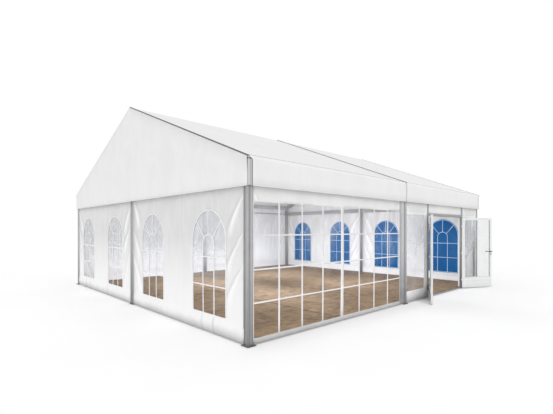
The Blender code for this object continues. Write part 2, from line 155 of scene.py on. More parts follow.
class TentColours(bpy.types.PropertyGroup):
    """Colours of the marquee's finishes."""
    cover: bpy.props.FloatVectorProperty(
        name="Covers", description="Coated cloth of the roof and gables",
        subtype="COLOR", size=3, default=(0.79, 0.79, 0.79))
    wall: bpy.props.FloatVectorProperty(
        name="Walls", description="Coated cloth of the walls",
        subtype="COLOR", size=3, default=(0.88, 0.88, 0.88))
    clear_film: bpy.props.FloatVectorProperty(
        name="Clear film", description="Tint of the clear windows",
        subtype="COLOR", size=3, default=(0.70, 0.715, 0.74))
    blue_film: bpy.props.FloatVectorProperty(
        name="Blue film", description="Tint of the far gable's windows",
        subtype="COLOR", size=3, default=(0.002, 0.080, 0.245))
    metal: bpy.props.FloatVectorProperty(
        name="Aluminium", description="Anodised frame",
        subtype="COLOR", size=3, default=(0.56, 0.56, 0.57))
    door: bpy.props.FloatVectorProperty(
        name="Door", description="Powder coat of the door leaves",
        subtype="COLOR", size=3, default=(0.735, 0.75, 0.745))
    floor: bpy.props.FloatVectorProperty(
        name="Floor", description="Middle tone of the floor panels",
        subtype="COLOR", size=3, default=(0.285, 0.197, 0.120))
    handle: bpy.props.FloatVectorProperty(
        name="Handle", description="Dark steel of the lever",
        subtype="COLOR", size=3, default=(0.03, 0.04, 0.07))


def sizes():
    """The marquee's sizes, as set in the sidebar."""
    return bpy.context.scene.tent_sizes


def colours():
    """The marquee's colours, as set in the sidebar."""
    return bpy.context.scene.tent_colours


# Shader nodes.


def node(tree, kind, settings=None, values=None):
    """One shader node, with its settings, and its values or links."""
    made = tree.nodes.new("ShaderNode" + kind)
    for key, value in (settings or {}).items():
        setattr(made, key, value)
    for key, value in (values or {}).items():
        socket = made.inputs[key]
        if isinstance(value, bpy.types.NodeSocket):
            tree.links.new(value, socket)
        else:
            socket.default_value = value
    return made


def maths(tree, operation, first, second=0.5, third=0.5):
    """The result of one sum."""
    values = {0: first, 1: second, 2: third}
    return node(tree, "Math", {"operation": operation}, values).outputs[0]


def remapped(tree, value, low, high, new_low, new_high):
    """A value moved from one range to another, and held inside the new one."""
    values = {0: value, 1: low, 2: high, 3: new_low, 4: new_high}
    return node(tree, "MapRange", {"clamp": True}, values).outputs[0]


def mixed(tree, factor, first, second):
    """Two colours mixed by a mask."""
    four = [tuple(c) + (1.0,) if not isinstance(c, bpy.types.NodeSocket) else c for c in (first, second)]
    values = {0: factor, 6: four[0], 7: four[1]}
    return node(tree, "Mix", {"data_type": "RGBA"}, values).outputs[2]


def place_on(tree, stretch=(1.0, 1.0, 1.0)):
    """Places on the piece in metres, stretched along each axis."""
    where = node(tree, "TexCoord").outputs["Object"]
    if stretch == (1.0, 1.0, 1.0):
        return where
    return node(tree, "Mapping", None, {"Vector": where, "Scale": stretch}).outputs[0]


def clouds(tree, where, scale, detail=3.0, rough=0.5, twist=0.0):
    """Soft cloudy values from 0 to 1."""
    values = {"Vector": where, "Scale": scale, "Detail": detail, "Roughness": rough, "Distortion": twist}
    return node(tree, "TexNoise", None, values).outputs["Fac"]


def new_group(name, inputs, outputs):
    """An empty node group with named inputs and outputs."""
    tree = bpy.data.node_groups.new(name, "ShaderNodeTree")
    for label, kind, default in inputs:
        socket = tree.interface.new_socket(label, in_out="INPUT", socket_type="NodeSocket" + kind)
        socket.default_value = default
    for label, kind in outputs:
        tree.interface.new_socket(label, in_out="OUTPUT", socket_type="NodeSocket" + kind)
    return tree, tree.nodes.new("NodeGroupInput").outputs, tree.nodes.new("NodeGroupOutput").inputs


def scrim_group():
    """The fine woven threads that show through coated cloth."""
    tree, given, result = new_group("scrim weave", [("Threads", "Float", 900.0)], [("Height", "Float")])
    parts = node(tree, "SeparateXYZ", None, {0: place_on(tree)}).outputs
    waves = [maths(tree, "SINE", maths(tree, "MULTIPLY", part, given["Threads"])) for part in parts]
    both = maths(tree, "ADD", maths(tree, "ADD", waves[0], waves[1]), waves[2])
    tree.links.new(remapped(tree, both, -3.0, 3.0, 0.0, 1.0), result["Height"])
    return tree


def crease_group():
    """Soft creases: a height for the bump and a mask along their ridges, which the cloth uses for a painted
    highlight.
    """
    inputs = [("Scale", "Float", 1.0), ("Stretch", "Vector", (1.0, 1.0, 0.35)), ("Sharpness", "Float", 2.0)]
    tree, given, result = new_group("soft creases", inputs, [("Height", "Float"), ("Crest", "Float")])
    where = node(tree, "Mapping", None, {"Vector": place_on(tree), "Scale": given["Stretch"]}).outputs[0]
    broad = node(tree, "TexNoise", None, {"Vector": where, "Scale": given["Scale"], "Detail": 2.0,
                                          "Roughness": 0.45, "Distortion": 0.8}).outputs["Fac"]
    centred = maths(tree, "ABSOLUTE", maths(tree, "SUBTRACT", broad, 0.5))
    ridge = maths(tree, "SUBTRACT", 1.0, maths(tree, "MULTIPLY", centred, 4.0))
    crest = maths(tree, "POWER", maths(tree, "MAXIMUM", ridge, 0.0), given["Sharpness"])
    height = maths(tree, "ADD", maths(tree, "MULTIPLY", broad, 0.7), maths(tree, "MULTIPLY", crest, 0.3))
    tree.links.new(height, result["Height"])
    tree.links.new(crest, result["Crest"])
    return tree


def crinkle_group():
    """Crinkles of clear film: a height for the bump and a mask of the painted whitish reflections along them."""
    inputs = [("Scale", "Float", 3.0), ("Stretch", "Vector", (1.0, 1.0, 0.6)), ("Amount", "Float", 0.5)]
    tree, given, result = new_group("film crinkles", inputs, [("Height", "Float"), ("Streaks", "Float")])
    where = node(tree, "Mapping", None, {"Vector": place_on(tree), "Scale": given["Stretch"]}).outputs[0]
    broad = node(tree, "TexNoise", None, {"Vector": where, "Scale": given["Scale"], "Detail": 2.5,
                                          "Roughness": 0.5, "Distortion": 1.2}).outputs["Fac"]
    fine = node(tree, "TexNoise", None, {"Vector": where, "Scale": maths(tree, "MULTIPLY", given["Scale"], 2.2),
                                         "Detail": 2.0, "Roughness": 0.5, "Distortion": 0.6}).outputs["Fac"]
    patch = remapped(tree, broad, 0.47, 0.68, 0.0, 1.0)
    mottled = remapped(tree, fine, 0.36, 0.62, 0.55, 1.0)
    fold = maths(tree, "ABSOLUTE", maths(tree, "SUBTRACT", broad, 0.46))
    line = maths(tree, "MULTIPLY", remapped(tree, fold, 0.0, 0.02, 0.25, 0.0), remapped(
        tree, fine, 0.45, 0.6, 0.0, 1.0))
    either = maths(tree, "MAXIMUM", maths(tree, "MULTIPLY", patch, mottled), line)
    tree.links.new(maths(tree, "ADD", maths(tree, "MULTIPLY", broad, 0.8), maths(tree, "MULTIPLY", fine, 0.2)),
                   result["Height"])
    tree.links.new(maths(tree, "MULTIPLY", either, given["Amount"]), result["Streaks"])
    return tree


def foot_darkening_group():
    """A mask that is full at the foot and breaks up on its way up."""
    inputs = [("Reach", "Float", 0.2), ("Amount", "Float", 0.6)]
    tree, given, result = new_group("foot darkening", inputs, [("Mask", "Float")])
    where = place_on(tree)
    height = node(tree, "SeparateXYZ", None, {0: where}).outputs["Z"]
    ragged = maths(tree, "MULTIPLY", remapped(tree, clouds(tree, where, 5.0, 3.0), 0.3, 0.7, 0.85, 1.15),
                   given["Reach"])
    share = maths(tree, "SUBTRACT", 1.0, maths(tree, "DIVIDE", height, ragged))
    held = maths(tree, "MINIMUM", maths(tree, "MAXIMUM", share, 0.0), 1.0)
    tree.links.new(maths(tree, "MULTIPLY", maths(tree, "POWER", held, 1.6), given["Amount"]), result["Mask"])
    return tree


def shade_group():
    """A mask that rises from 0 at the lower height to 1 at the upper one."""
    tree, given, result = new_group("height shade", [("Low", "Float", 0.3), ("High", "Float", 2.3)],
                                    [("Mask", "Float")])
    height = node(tree, "SeparateXYZ", None, {0: place_on(tree)}).outputs["Z"]
    part = maths(tree, "DIVIDE", maths(tree, "SUBTRACT", height, given["Low"]),
                 maths(tree, "SUBTRACT", given["High"], given["Low"]))
    held = maths(tree, "MINIMUM", maths(tree, "MAXIMUM", part, 0.0), 1.0)
    tree.links.new(maths(tree, "POWER", held, 1.3), result["Mask"])
    return tree


def drawn_group():
    """Fine lines that run along a drawn metal profile, with handling marks."""
    inputs = [("Stretch", "Vector", (240.0, 240.0, 2.0)), ("Marks", "Float", 0.5)]
    tree, given, result = new_group("drawn metal", inputs, [("Lines", "Float"), ("Marks", "Float")])
    where = place_on(tree)
    along = node(tree, "Mapping", None, {"Vector": where, "Scale": given["Stretch"]}).outputs[0]
    tree.links.new(clouds(tree, along, 1.0, 2.0), result["Lines"])
    smudge = remapped(tree, clouds(tree, where, 7.0, 5.0, 0.65, 0.4), 0.48, 0.72, 0.0, 1.0)
    tree.links.new(maths(tree, "MULTIPLY", smudge, given["Marks"]), result["Marks"])
    return tree


def grain_group():
    """Streaky wood grain with darker patches."""
    inputs = [("Stretch", "Vector", (1.2, 9.0, 9.0)), ("Shift", "Vector", (0.0, 0.0, 0.0))]
    tree, given, result = new_group("wood grain", inputs, [("Grain", "Float"), ("Patches", "Float")])
    moved = node(tree, "VectorMath", {"operation": "ADD"}, {0: place_on(tree), 1: given["Shift"]}).outputs[0]
    along = node(tree, "Mapping", None, {"Vector": moved, "Scale": given["Stretch"]}).outputs[0]
    broad = clouds(tree, along, 1.0, 6.0, 0.62, 0.9)
    fine = clouds(tree, along, 7.0, 4.0, 0.6, 0.2)
    tree.links.new(maths(tree, "ADD", maths(tree, "MULTIPLY", broad, 0.65),
                         maths(tree, "MULTIPLY", fine, 0.35)), result["Grain"])
    tree.links.new(clouds(tree, moved, 0.9, 4.0, 0.6, 0.3), result["Patches"])
    return tree


GROUPS = {
    "scrim weave": scrim_group, "soft creases": crease_group, "film crinkles": crinkle_group,
    "foot darkening": foot_darkening_group, "height shade": shade_group, "drawn metal": drawn_group, "wood grain": grain_group,
}


def effect(tree, name, values=None):
    """The outputs of a shared effect, placed in a material with its own values."""
    group = bpy.data.node_groups.get(name) or GROUPS[name]()
    placed = tree.nodes.new("ShaderNodeGroup")
    placed.node_tree = group
    for key, value in (values or {}).items():
        placed.inputs[key].default_value = value
    return placed.outputs


def new_finish(name, **plain):
    """A material, its node tree and its shader, with the plain values set on the shader itself."""
    material = bpy.data.materials.new(name)
    material.use_nodes = True
    tree = material.node_tree
    shader = tree.nodes["Principled BSDF"]
    for key, value in plain.items():
        socket = shader.inputs[key.replace("_", " ")]
        socket.default_value = tuple(value) + (1.0,) if hasattr(value, "__len__") else value
    return material, tree, shader.inputs


def bumps(tree, shader, *layers):
    """Heights laid over each other as bumps, each with its depth in metres."""
    normal = None
    for height, depth in layers:
        bump = node(tree, "Bump", None, {"Strength": 1.0, "Distance": depth, "Height": height})
        if normal is not None:
            tree.links.new(normal, bump.inputs["Normal"])
        normal = bump.outputs[0]
    tree.links.new(normal, shader["Normal"])


def coated_cloth(name, colour, creases, foot_darkening_amount, dulling, shade, crest=0.2):
    """Coated white cloth with creases and woven threads, a painted highlight on fold and crease ridges, and painted
    shade in fold troughs, at the foot and on its upper part.
    """
    material, tree, shader = new_finish(name, Specular_IOR_Level=0.35)
    low, high, depth = shade
    # Painted light and shade from the point attribute: lighter on fold ridges, darker in fold troughs and shaded
    # places.
    tone = node(tree, "Attribute", {"attribute_type": "GEOMETRY", "attribute_name": PAINTED_SHADING}).outputs["Fac"]
    painted_highlight = maths(tree, "MINIMUM", maths(tree, "MAXIMUM", tone, 0.0), 1.0)
    painted_hollow_shade = maths(tree, "MULTIPLY", maths(tree, "MAXIMUM", maths(tree, "MULTIPLY", tone, -1.0), 0.0), 0.8)
    crease = effect(tree, "soft creases", creases)
    foot_darkening_mask = effect(tree, "foot darkening", foot_darkening_amount)["Mask"]
    patches = remapped(tree, clouds(tree, place_on(tree), 0.8, 4.0, 0.6), 0.35, 0.7, 0.0, dulling)
    # Painted shade on the upper part of the cloth.
    upper = maths(tree, "MULTIPLY", effect(tree, "height shade", {"Low": low, "High": high})["Mask"], depth)
    upper_shaded = mixed(tree, upper, colour, [c * 0.5 for c in colour])
    shaded = mixed(tree, patches, upper_shaded, [c * 0.80 for c in colour])
    # Painted highlight along the creases' ridges.
    creased = mixed(tree, maths(tree, "MULTIPLY", crease["Crest"], crest), shaded,
                    [min(0.95, c * 1.10) for c in colour])
    lit = mixed(tree, painted_highlight, creased, [min(0.97, c * 1.16) for c in colour])
    sunk = mixed(tree, painted_hollow_shade, lit, [c * 0.42 for c in colour])
    # Painted shade towards the foot.
    tree.links.new(mixed(tree, foot_darkening_mask, sunk, (0.20, 0.19, 0.19)), shader["Base Color"])
    tree.links.new(remapped(tree, crease["Height"], 0.2, 0.8, 0.38, 0.56), shader["Roughness"])
    bumps(tree, shader, (effect(tree, "scrim weave")["Height"], 0.00012), (crease["Height"], 0.006))
    return material


def cover_cloth(name):
    """Roof and gable covers, with a stronger painted highlight on crease ridges and a faint painted shade higher up.
    """
    creases = {"Scale": 1.6, "Stretch": (1.0, 1.0, 0.5), "Sharpness": 2.5}
    return coated_cloth(name, colours().cover, creases, {"Reach": 0.01, "Amount": 0.0}, 0.05,
                        (2.28, 3.2, 0.03), 0.3)


def wall_cloth(name, upper=0.26, foot_darkening_amount=0.85, crest=0.2, reach=0.27):
    """Walls beside the door and the panorama grid, with painted shade on their upper part and at the foot."""
    creases = {"Scale": 2.4, "Stretch": (1.0, 1.0, 0.30), "Sharpness": 3.0}
    return coated_cloth(name, colours().wall, creases, {"Reach": reach, "Amount": foot_darkening_amount}, 0.05,
                        (0.45, 1.55, upper), crest)


def gable_cloth(name):
    """Walls of the near gable: a more shaded copy, with deeper painted shade on their upper part."""
    return wall_cloth(name, 0.48, 0.75, 0.2, 0.20)


def far_cloth(name):
    """Walls of the rear and the far gable, with little painted shade at the foot and a stronger painted highlight on
    their creases.
    """
    return wall_cloth(name, 0.40, 0.10, 0.5, 0.20)


def welded_strip(name):
    """White strips welded on the cloth and the film: window bars, borders and hems."""
    material, tree, shader = new_finish(name, Specular_IOR_Level=0.4)
    # Darker towards the foot.
    foot_darkening_mask = effect(tree, "foot darkening", {"Reach": 0.16, "Amount": 0.5})["Mask"]
    cloud = remapped(tree, clouds(tree, place_on(tree), 6.0, 4.0), 0.3, 0.7, 0.0, 0.25)
    base = mixed(tree, cloud, (0.90, 0.90, 0.91), (0.78, 0.78, 0.80))
    tree.links.new(mixed(tree, foot_darkening_mask, base, (0.22, 0.21, 0.21)), shader["Base Color"])
    tree.links.new(remapped(tree, cloud, 0.0, 0.25, 0.35, 0.5), shader["Roughness"])
    bumps(tree, shader, (effect(tree, "scrim weave", {"Threads": 1500.0})["Height"], 0.0001))
    return material


def tinted_strip(name):
    """Bluish strips welded on the blue windows."""
    material, tree, shader = new_finish(name, Specular_IOR_Level=0.4)
    cloud = remapped(tree, clouds(tree, place_on(tree), 6.0, 4.0), 0.3, 0.7, 0.0, 1.0)
    tree.links.new(mixed(tree, cloud, (0.50, 0.70, 0.92), (0.36, 0.56, 0.80)), shader["Base Color"])
    tree.links.new(remapped(tree, cloud, 0.0, 1.0, 0.35, 0.5), shader["Roughness"])
    bumps(tree, shader, (effect(tree, "scrim weave", {"Threads": 1500.0})["Height"], 0.0001))
    return material


def eave_welt_and_shade_line(name):
    """Grey rope edging along the eaves: a welt whose grey also draws the painted shade line of the eave's bend."""
    material, tree, shader = new_finish(name, Specular_IOR_Level=0.35)
    cloud = remapped(tree, clouds(tree, place_on(tree), 12.0, 4.0), 0.3, 0.7, 0.0, 1.0)
    tree.links.new(mixed(tree, cloud, (0.46, 0.46, 0.47), (0.56, 0.56, 0.57)), shader["Base Color"])
    tree.links.new(remapped(tree, cloud, 0.0, 1.0, 0.42, 0.6), shader["Roughness"])
    bumps(tree, shader, (effect(tree, "scrim weave", {"Threads": 1500.0})["Height"], 0.0001))
    return material


def film(name, colour, pale, haze, amount, scale, low_share=1.0, tall=0.6, glow=0.0, span=(0.55, 1.35)):
    """Clear sheet with crinkles, painted whitish reflections along them, a haze and, where glow isn't 0, a painted
    glow. haze is how much shows low down and high up.
    """
    material, tree, shader = new_finish(name, IOR=1.5, Specular_IOR_Level=0.3, Emission_Strength=glow)
    crinkle = effect(tree, "film crinkles", {"Scale": scale, "Stretch": (1.0, 1.0, tall), "Amount": amount})
    upper = effect(tree, "height shade", {"Low": span[0], "High": span[1]})["Mask"]
    # Painted whitish reflections of the crinkles, fewer low down.
    painted_reflection_mask = maths(tree, "MULTIPLY", crinkle["Streaks"], remapped(tree, upper, 0.0, 1.0, low_share, 1.0))
    mist = maths(tree, "MULTIPLY", remapped(tree, upper, 0.0, 1.0, *haze), remapped(
        tree, clouds(tree, place_on(tree), 1.3, 3.0, 0.5, 0.6), 0.3, 0.7, 0.8, 1.2))
    tree.links.new(maths(tree, "MINIMUM", maths(tree, "ADD", mist, painted_reflection_mask), 1.0), shader["Alpha"])
    # pale is the colour of the painted reflections.
    tint = mixed(tree, maths(tree, "MULTIPLY", painted_reflection_mask, 1.6), colour, pale)
    tree.links.new(tint, shader["Base Color"])
    # Painted glow: the film gives off its own colour though it is no lamp.
    if glow:
        tree.links.new(tint, shader["Emission Color"])
    tree.links.new(remapped(tree, crinkle["Height"], 0.3, 0.7, 0.12, 0.30), shader["Roughness"])
    bumps(tree, shader, (crinkle["Height"], 0.008))
    return material


def clear_window(name):
    """Clear film of the near gable: a darker copy of the clear film as painted shade, misty in its upper part."""
    colour = [c * 0.88 for c in colours().clear_film]
    return film(name, colour, (0.85, 0.86, 0.885), (0.0, 0.50), 0.42, 2.4, 0.03, span=(0.70, 1.50))


def panorama_window(name):
    """Clear film of the panorama wall, with less haze and fewer painted reflections than the rest."""
    return film(name, colours().clear_film, (0.90, 0.91, 0.93), (0.0, 0.03), 0.10, 2.2, 0.0)


def side_window(name):
    """Clear film beside the door: a lighter copy of the clear film as painted light, with long upright painted
    reflections.
    """
    colour = [c * 1.11 for c in colours().clear_film]
    return film(name, colour, (0.93, 0.94, 0.95), (0.06, 0.72), 0.60, 2.6, 0.20, 0.4,
                span=(0.75, 2.0))


def blue_window(name):
    """Blue film of the far gable, with a painted glow."""
    return film(name, colours().blue_film, (0.02, 0.165, 0.385), (0.93, 0.96), 0.20, 2.4, 1.0, 0.6, 0.29)


def aluminium(name, stretch=(240.0, 240.0, 2.0), dark=1.0, foot_darkening_amount=0.35, foot=0.75):
    """Anodised aluminium with drawn lines and handling marks, painted light and shade from the point attribute,
    painted shade that grows towards the foot, and darker at the very foot.
    """
    colour = [c * dark for c in colours().metal]
    material, tree, shader = new_finish(name, Metallic=0.6)
    # Painted light and shade from the point attribute: lighter on lit faces, darker in slots and shaded parts.
    tone = node(tree, "Attribute", {"attribute_type": "GEOMETRY", "attribute_name": PAINTED_SHADING}).outputs["Fac"]
    painted_highlight = maths(tree, "MINIMUM", maths(tree, "MAXIMUM", tone, 0.0), 1.0)
    painted_hollow_shade = maths(tree, "MULTIPLY", maths(tree, "MAXIMUM", maths(tree, "MULTIPLY", tone, -1.0), 0.0), 0.7)
    upper = effect(tree, "height shade", {"Low": 0.0, "High": 1.2})["Mask"]
    drawn = effect(tree, "drawn metal", {"Stretch": stretch, "Marks": 0.5})
    foot_darkening_mask = effect(tree, "foot darkening", {"Reach": 0.10, "Amount": foot_darkening_amount})["Mask"]
    lined = mixed(tree, drawn["Lines"], [c * 0.86 for c in colour], [c * 1.12 for c in colour])
    marked = mixed(tree, drawn["Marks"], lined, [c * 0.72 for c in colour])
    lit = mixed(tree, painted_highlight, marked, [min(0.95, c * 1.35) for c in colour])
    sunk = mixed(tree, painted_hollow_shade, lit, [c * 0.35 for c in colour])
    # Painted shade that grows from 1.2 m down to the foot.
    footed = mixed(tree, remapped(tree, upper, 0.0, 1.0, foot, 0.0), sunk, [c * 0.45 for c in colour])
    # Darker at the very foot.
    tree.links.new(mixed(tree, foot_darkening_mask, footed, (0.10, 0.10, 0.11)), shader["Base Color"])
    tree.links.new(remapped(tree, drawn["Lines"], 0.2, 0.8, 0.34, 0.5), shader["Roughness"])
    bumps(tree, shader, (drawn["Lines"], 0.0002))
    return material


def upright_metal(name):
    """Frame aluminium whose drawn lines run upwards."""
    return aluminium(name)


def long_metal(name):
    """Frame aluminium whose drawn lines run along the marquee."""
    return aluminium(name, (2.0, 240.0, 240.0), 1.0, 0.0)


def cross_metal(name):
    """Frame aluminium whose drawn lines run across the marquee."""
    return aluminium(name, (240.0, 2.0, 240.0), 0.9, 0.0)


def door_metal(name):
    """Darker aluminium of the door frame."""
    return aluminium(name, (240.0, 240.0, 2.0), 0.64, 0.2)


def track_metal(name):
    """Pale aluminium of the tracks that hold the walls' edges."""
    return aluminium(name, (240.0, 240.0, 2.0), 1.15, 0.2)


def sill_metal(name):
    """Pale worn aluminium of the door's sill."""
    return aluminium(name, (2.0, 240.0, 240.0), 0.85, 0.0, 0.0)


def corner_metal(name):
    """Aluminium of the corner profiles."""
    return aluminium(name, (240.0, 240.0, 2.0), 0.98, 0.0)


def rail_metal(name):
    """The rail that holds the covers' edges, darker than the frame both as its own colour and as painted shade for
    the shadow gap along it.
    """
    return aluminium(name, (240.0, 2.0, 240.0), 0.30, 0.0)


def plate_steel(name):
    """Galvanised foot plates, bolts and brackets."""
    material, tree, shader = new_finish(name, Metallic=0.8)
    values = {"Vector": place_on(tree), "Scale": 55.0, "Randomness": 1.0}
    flakes = node(tree, "TexVoronoi", {"feature": "F1"}, values).outputs["Color"]
    spangle = node(tree, "SeparateColor", None, {0: flakes}).outputs[0]
    base = mixed(tree, spangle, (0.24, 0.25, 0.27), (0.36, 0.37, 0.39))
    # Darker at the foot.
    foot_darkening_mask = effect(tree, "foot darkening", {"Reach": 0.03, "Amount": 0.6})["Mask"]
    tree.links.new(mixed(tree, foot_darkening_mask, base, (0.08, 0.075, 0.07)), shader["Base Color"])
    tree.links.new(remapped(tree, spangle, 0.0, 1.0, 0.38, 0.58), shader["Roughness"])
    bumps(tree, shader, (clouds(tree, place_on(tree), 120.0, 3.0), 0.0002))
    return material


def powder_coat(name):
    """White powder coat with its fine orange-peel surface and scuffs."""
    material, tree, shader = new_finish(name, Specular_IOR_Level=0.5)
    where = place_on(tree)
    scuffs = remapped(tree, clouds(tree, where, 5.0, 6.0, 0.7, 0.5), 0.55, 0.8, 0.0, 0.5)
    door = colours().door
    base = mixed(tree, scuffs, door, [c * 0.82 for c in door])
    # Darker towards the foot.
    foot_darkening_mask = effect(tree, "foot darkening", {"Reach": 0.16, "Amount": 0.35})["Mask"]
    tree.links.new(mixed(tree, foot_darkening_mask, base, (0.3, 0.28, 0.26)), shader["Base Color"])
    tree.links.new(remapped(tree, scuffs, 0.0, 0.5, 0.3, 0.5), shader["Roughness"])
    bumps(tree, shader, (clouds(tree, where, 320.0, 2.0), 0.00015))
    return material


def door_glass(name):
    """Clear safety glass of the door leaves, with faint smears."""
    material, tree, shader = new_finish(name, Transmission_Weight=1.0, IOR=1.45)
    smears = remapped(tree, clouds(tree, place_on(tree, (1.0, 1.0, 0.4)), 6.0, 5.0, 0.65, 0.8),
                      0.45, 0.8, 0.0, 1.0)
    tree.links.new(mixed(tree, smears, (0.86, 0.865, 0.87), (0.81, 0.815, 0.82)), shader["Base Color"])
    tree.links.new(remapped(tree, smears, 0.0, 1.0, 0.01, 0.06), shader["Roughness"])
    return material


def rubber_seal(name):
    """Grey rubber round the glass and under the leaves."""
    material, tree, shader = new_finish(name, Specular_IOR_Level=0.3)
    dust = remapped(tree, clouds(tree, place_on(tree), 40.0, 4.0), 0.4, 0.7, 0.0, 1.0)
    tree.links.new(mixed(tree, dust, (0.80, 0.81, 0.81), (0.90, 0.91, 0.91)), shader["Base Color"])
    tree.links.new(remapped(tree, dust, 0.0, 1.0, 0.55, 0.75), shader["Roughness"])
    bumps(tree, shader, (clouds(tree, place_on(tree), 260.0, 3.0), 0.0002))
    return material


def handle_steel(name):
    """Dark brushed steel of the lever and the lock."""
    handle = colours().handle
    material, tree, shader = new_finish(name, Metallic=0.8)
    drawn = effect(tree, "drawn metal", {"Stretch": (30.0, 30.0, 600.0), "Marks": 0.6})
    lined = mixed(tree, drawn["Lines"], [c * 0.8 for c in handle], [c * 1.4 for c in handle])
    tree.links.new(mixed(tree, drawn["Marks"], lined, [c * 2.2 for c in handle]), shader["Base Color"])
    tree.links.new(remapped(tree, drawn["Lines"], 0.2, 0.8, 0.25, 0.42), shader["Roughness"])
    bumps(tree, shader, (drawn["Lines"], 0.0001))
    return material


def floor_board(name):
    """Brown floor panels: streaky grain, a tone for each panel, patches and wear."""
    material, tree, shader = new_finish(name, Specular_IOR_Level=0.25)
    where = place_on(tree)
    joint = sizes().panel_wide
    cells = node(tree, "Mapping", None, {"Vector": where, "Location": (0.0, 0.5, 0.0),
                                         "Scale": (1 / 2.26, 1 / joint, 0.0)}).outputs[0]
    whole = node(tree, "VectorMath", {"operation": "FLOOR"}, {0: cells}).outputs[0]
    chance = node(tree, "TexWhiteNoise", {"noise_dimensions": "3D"}, {"Vector": whole}).outputs
    placed = effect_with(tree, "wood grain", {"Stretch": (7.0, 1.6, 7.0)},
                         {"Shift": node(tree, "VectorMath", {"operation": "SCALE"},
                                        {0: chance["Color"], "Scale": 7.0}).outputs[0]})
    base = colours().floor
    grain = mixed(tree, remapped(tree, placed["Grain"], 0.38, 0.62, 0.0, 1.0),
                  [c * 0.50 for c in base], [c * 1.40 for c in base])
    flecks = remapped(tree, clouds(tree, place_on(tree, (1.0, 1.0, 1.0)), 5.5, 5.0, 0.70, 0.5), 0.44, 0.60, 0.0, 0.6)
    streaked = mixed(tree, flecks, grain, [c * 1.7 for c in base])
    dark = remapped(tree, clouds(tree, place_on(tree, (0.6, 1.6, 1.0)), 7.0, 5.0, 0.70, 0.3), 0.48, 0.62, 0.0, 0.75)
    worn = mixed(tree, dark, streaked, [c * 0.40 for c in base])
    patch = mixed(tree, remapped(tree, placed["Patches"], 0.42, 0.62, 0.0, 0.35), worn, [c * 1.5 for c in base])
    boards = mixed(tree, maths(tree, "MULTIPLY", chance["Value"], 0.22), patch, [c * 0.6 for c in base])
    tree.links.new(boards, shader["Base Color"])
    tree.links.new(remapped(tree, placed["Grain"], 0.3, 0.7, 0.50, 0.72), shader["Roughness"])
    bumps(tree, shader, (placed["Grain"], 0.0012))
    return material


def effect_with(tree, name, values, links):
    """A shared effect with some inputs set and others linked."""
    outputs = effect(tree, name, values)
    placed = outputs[0].node
    for key, socket in links.items():
        tree.links.new(socket, placed.inputs[key])
    return outputs


def board_edge(name):
    """Dark sealed edges of the floor panels and the joists under them."""
    material, tree, shader = new_finish(name, Specular_IOR_Level=0.2)
    cloud = clouds(tree, place_on(tree, (3.0, 3.0, 30.0)), 4.0, 5.0)
    tree.links.new(mixed(tree, cloud, (0.12, 0.085, 0.06), (0.26, 0.19, 0.14)), shader["Base Color"])
    tree.links.new(remapped(tree, cloud, 0.3, 0.7, 0.6, 0.85), shader["Roughness"])
    bumps(tree, shader, (cloud, 0.001))
    return material


def studio_floor(name):
    """The studio's pale floor."""
    material, tree, shader = new_finish(name, Specular_IOR_Level=0.1)
    cloud = clouds(tree, place_on(tree), 0.4, 3.0)
    tree.links.new(mixed(tree, cloud, (0.965, 0.965, 0.965), (0.985, 0.985, 0.985)), shader["Base Color"])
    tree.links.new(remapped(tree, cloud, 0.3, 0.7, 0.75, 0.85), shader["Roughness"])
    return material


FINISHES = {
    "cover cloth": cover_cloth, "wall cloth": wall_cloth, "gable cloth": gable_cloth, "far cloth": far_cloth,
    "welded strip": welded_strip, "tinted strip": tinted_strip, "grey piping": eave_welt_and_shade_line,
    "clear window": clear_window, "panorama window": panorama_window, "side window": side_window,
    "blue window": blue_window,
    "upright metal": upright_metal, "long metal": long_metal, "cross metal": cross_metal,
    "rail metal": rail_metal, "corner metal": corner_metal, "door metal": door_metal,
    "track metal": track_metal, "sill metal": sill_metal, "plate steel": plate_steel, "powder coat": powder_coat,
    "door glass": door_glass, "rubber seal": rubber_seal, "handle steel": handle_steel,
    "floor board": floor_board, "board edge": board_edge, "studio floor": studio_floor,
}


def finish(name):
    """The finish of that name, made when it is first used."""
    return bpy.data.materials.get(name) or FINISHES[name](name)


# Shapes.


def eased(x):
    """A soft step from 0 to 1."""
    x = np.clip(x, 0.0, 1.0)
    return x * x * (3.0 - 2.0 * x)


def spaced(low, high, step):
    """Evenly spaced values from low to high, at most step apart."""
    return np.linspace(low, high, max(1, math.ceil((high - low) / step)) + 1)


def roof_high(y):
    """Height of the roof's outer face over a place across the marquee."""
    return RIDGE_HIGH - ROOF_SLOPE * np.abs(y)


def piece_of(name, points, faces, material, body="tent", smooth=True):
    """A mesh piece that rides on a body and takes the finish of that name."""
    mesh = bpy.data.meshes.new(name)
    mesh.from_pydata([tuple(map(float, p)) for p in points], [], [tuple(map(int, f)) for f in faces])
    mesh.validate()
    mesh.polygons.foreach_set("use_smooth", [smooth] * len(mesh.polygons))
    mesh.materials.append(finish(material))
    piece = bpy.data.objects.new(name, mesh)
    bpy.context.scene.collection.objects.link(piece)
    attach(piece, body)
    return piece


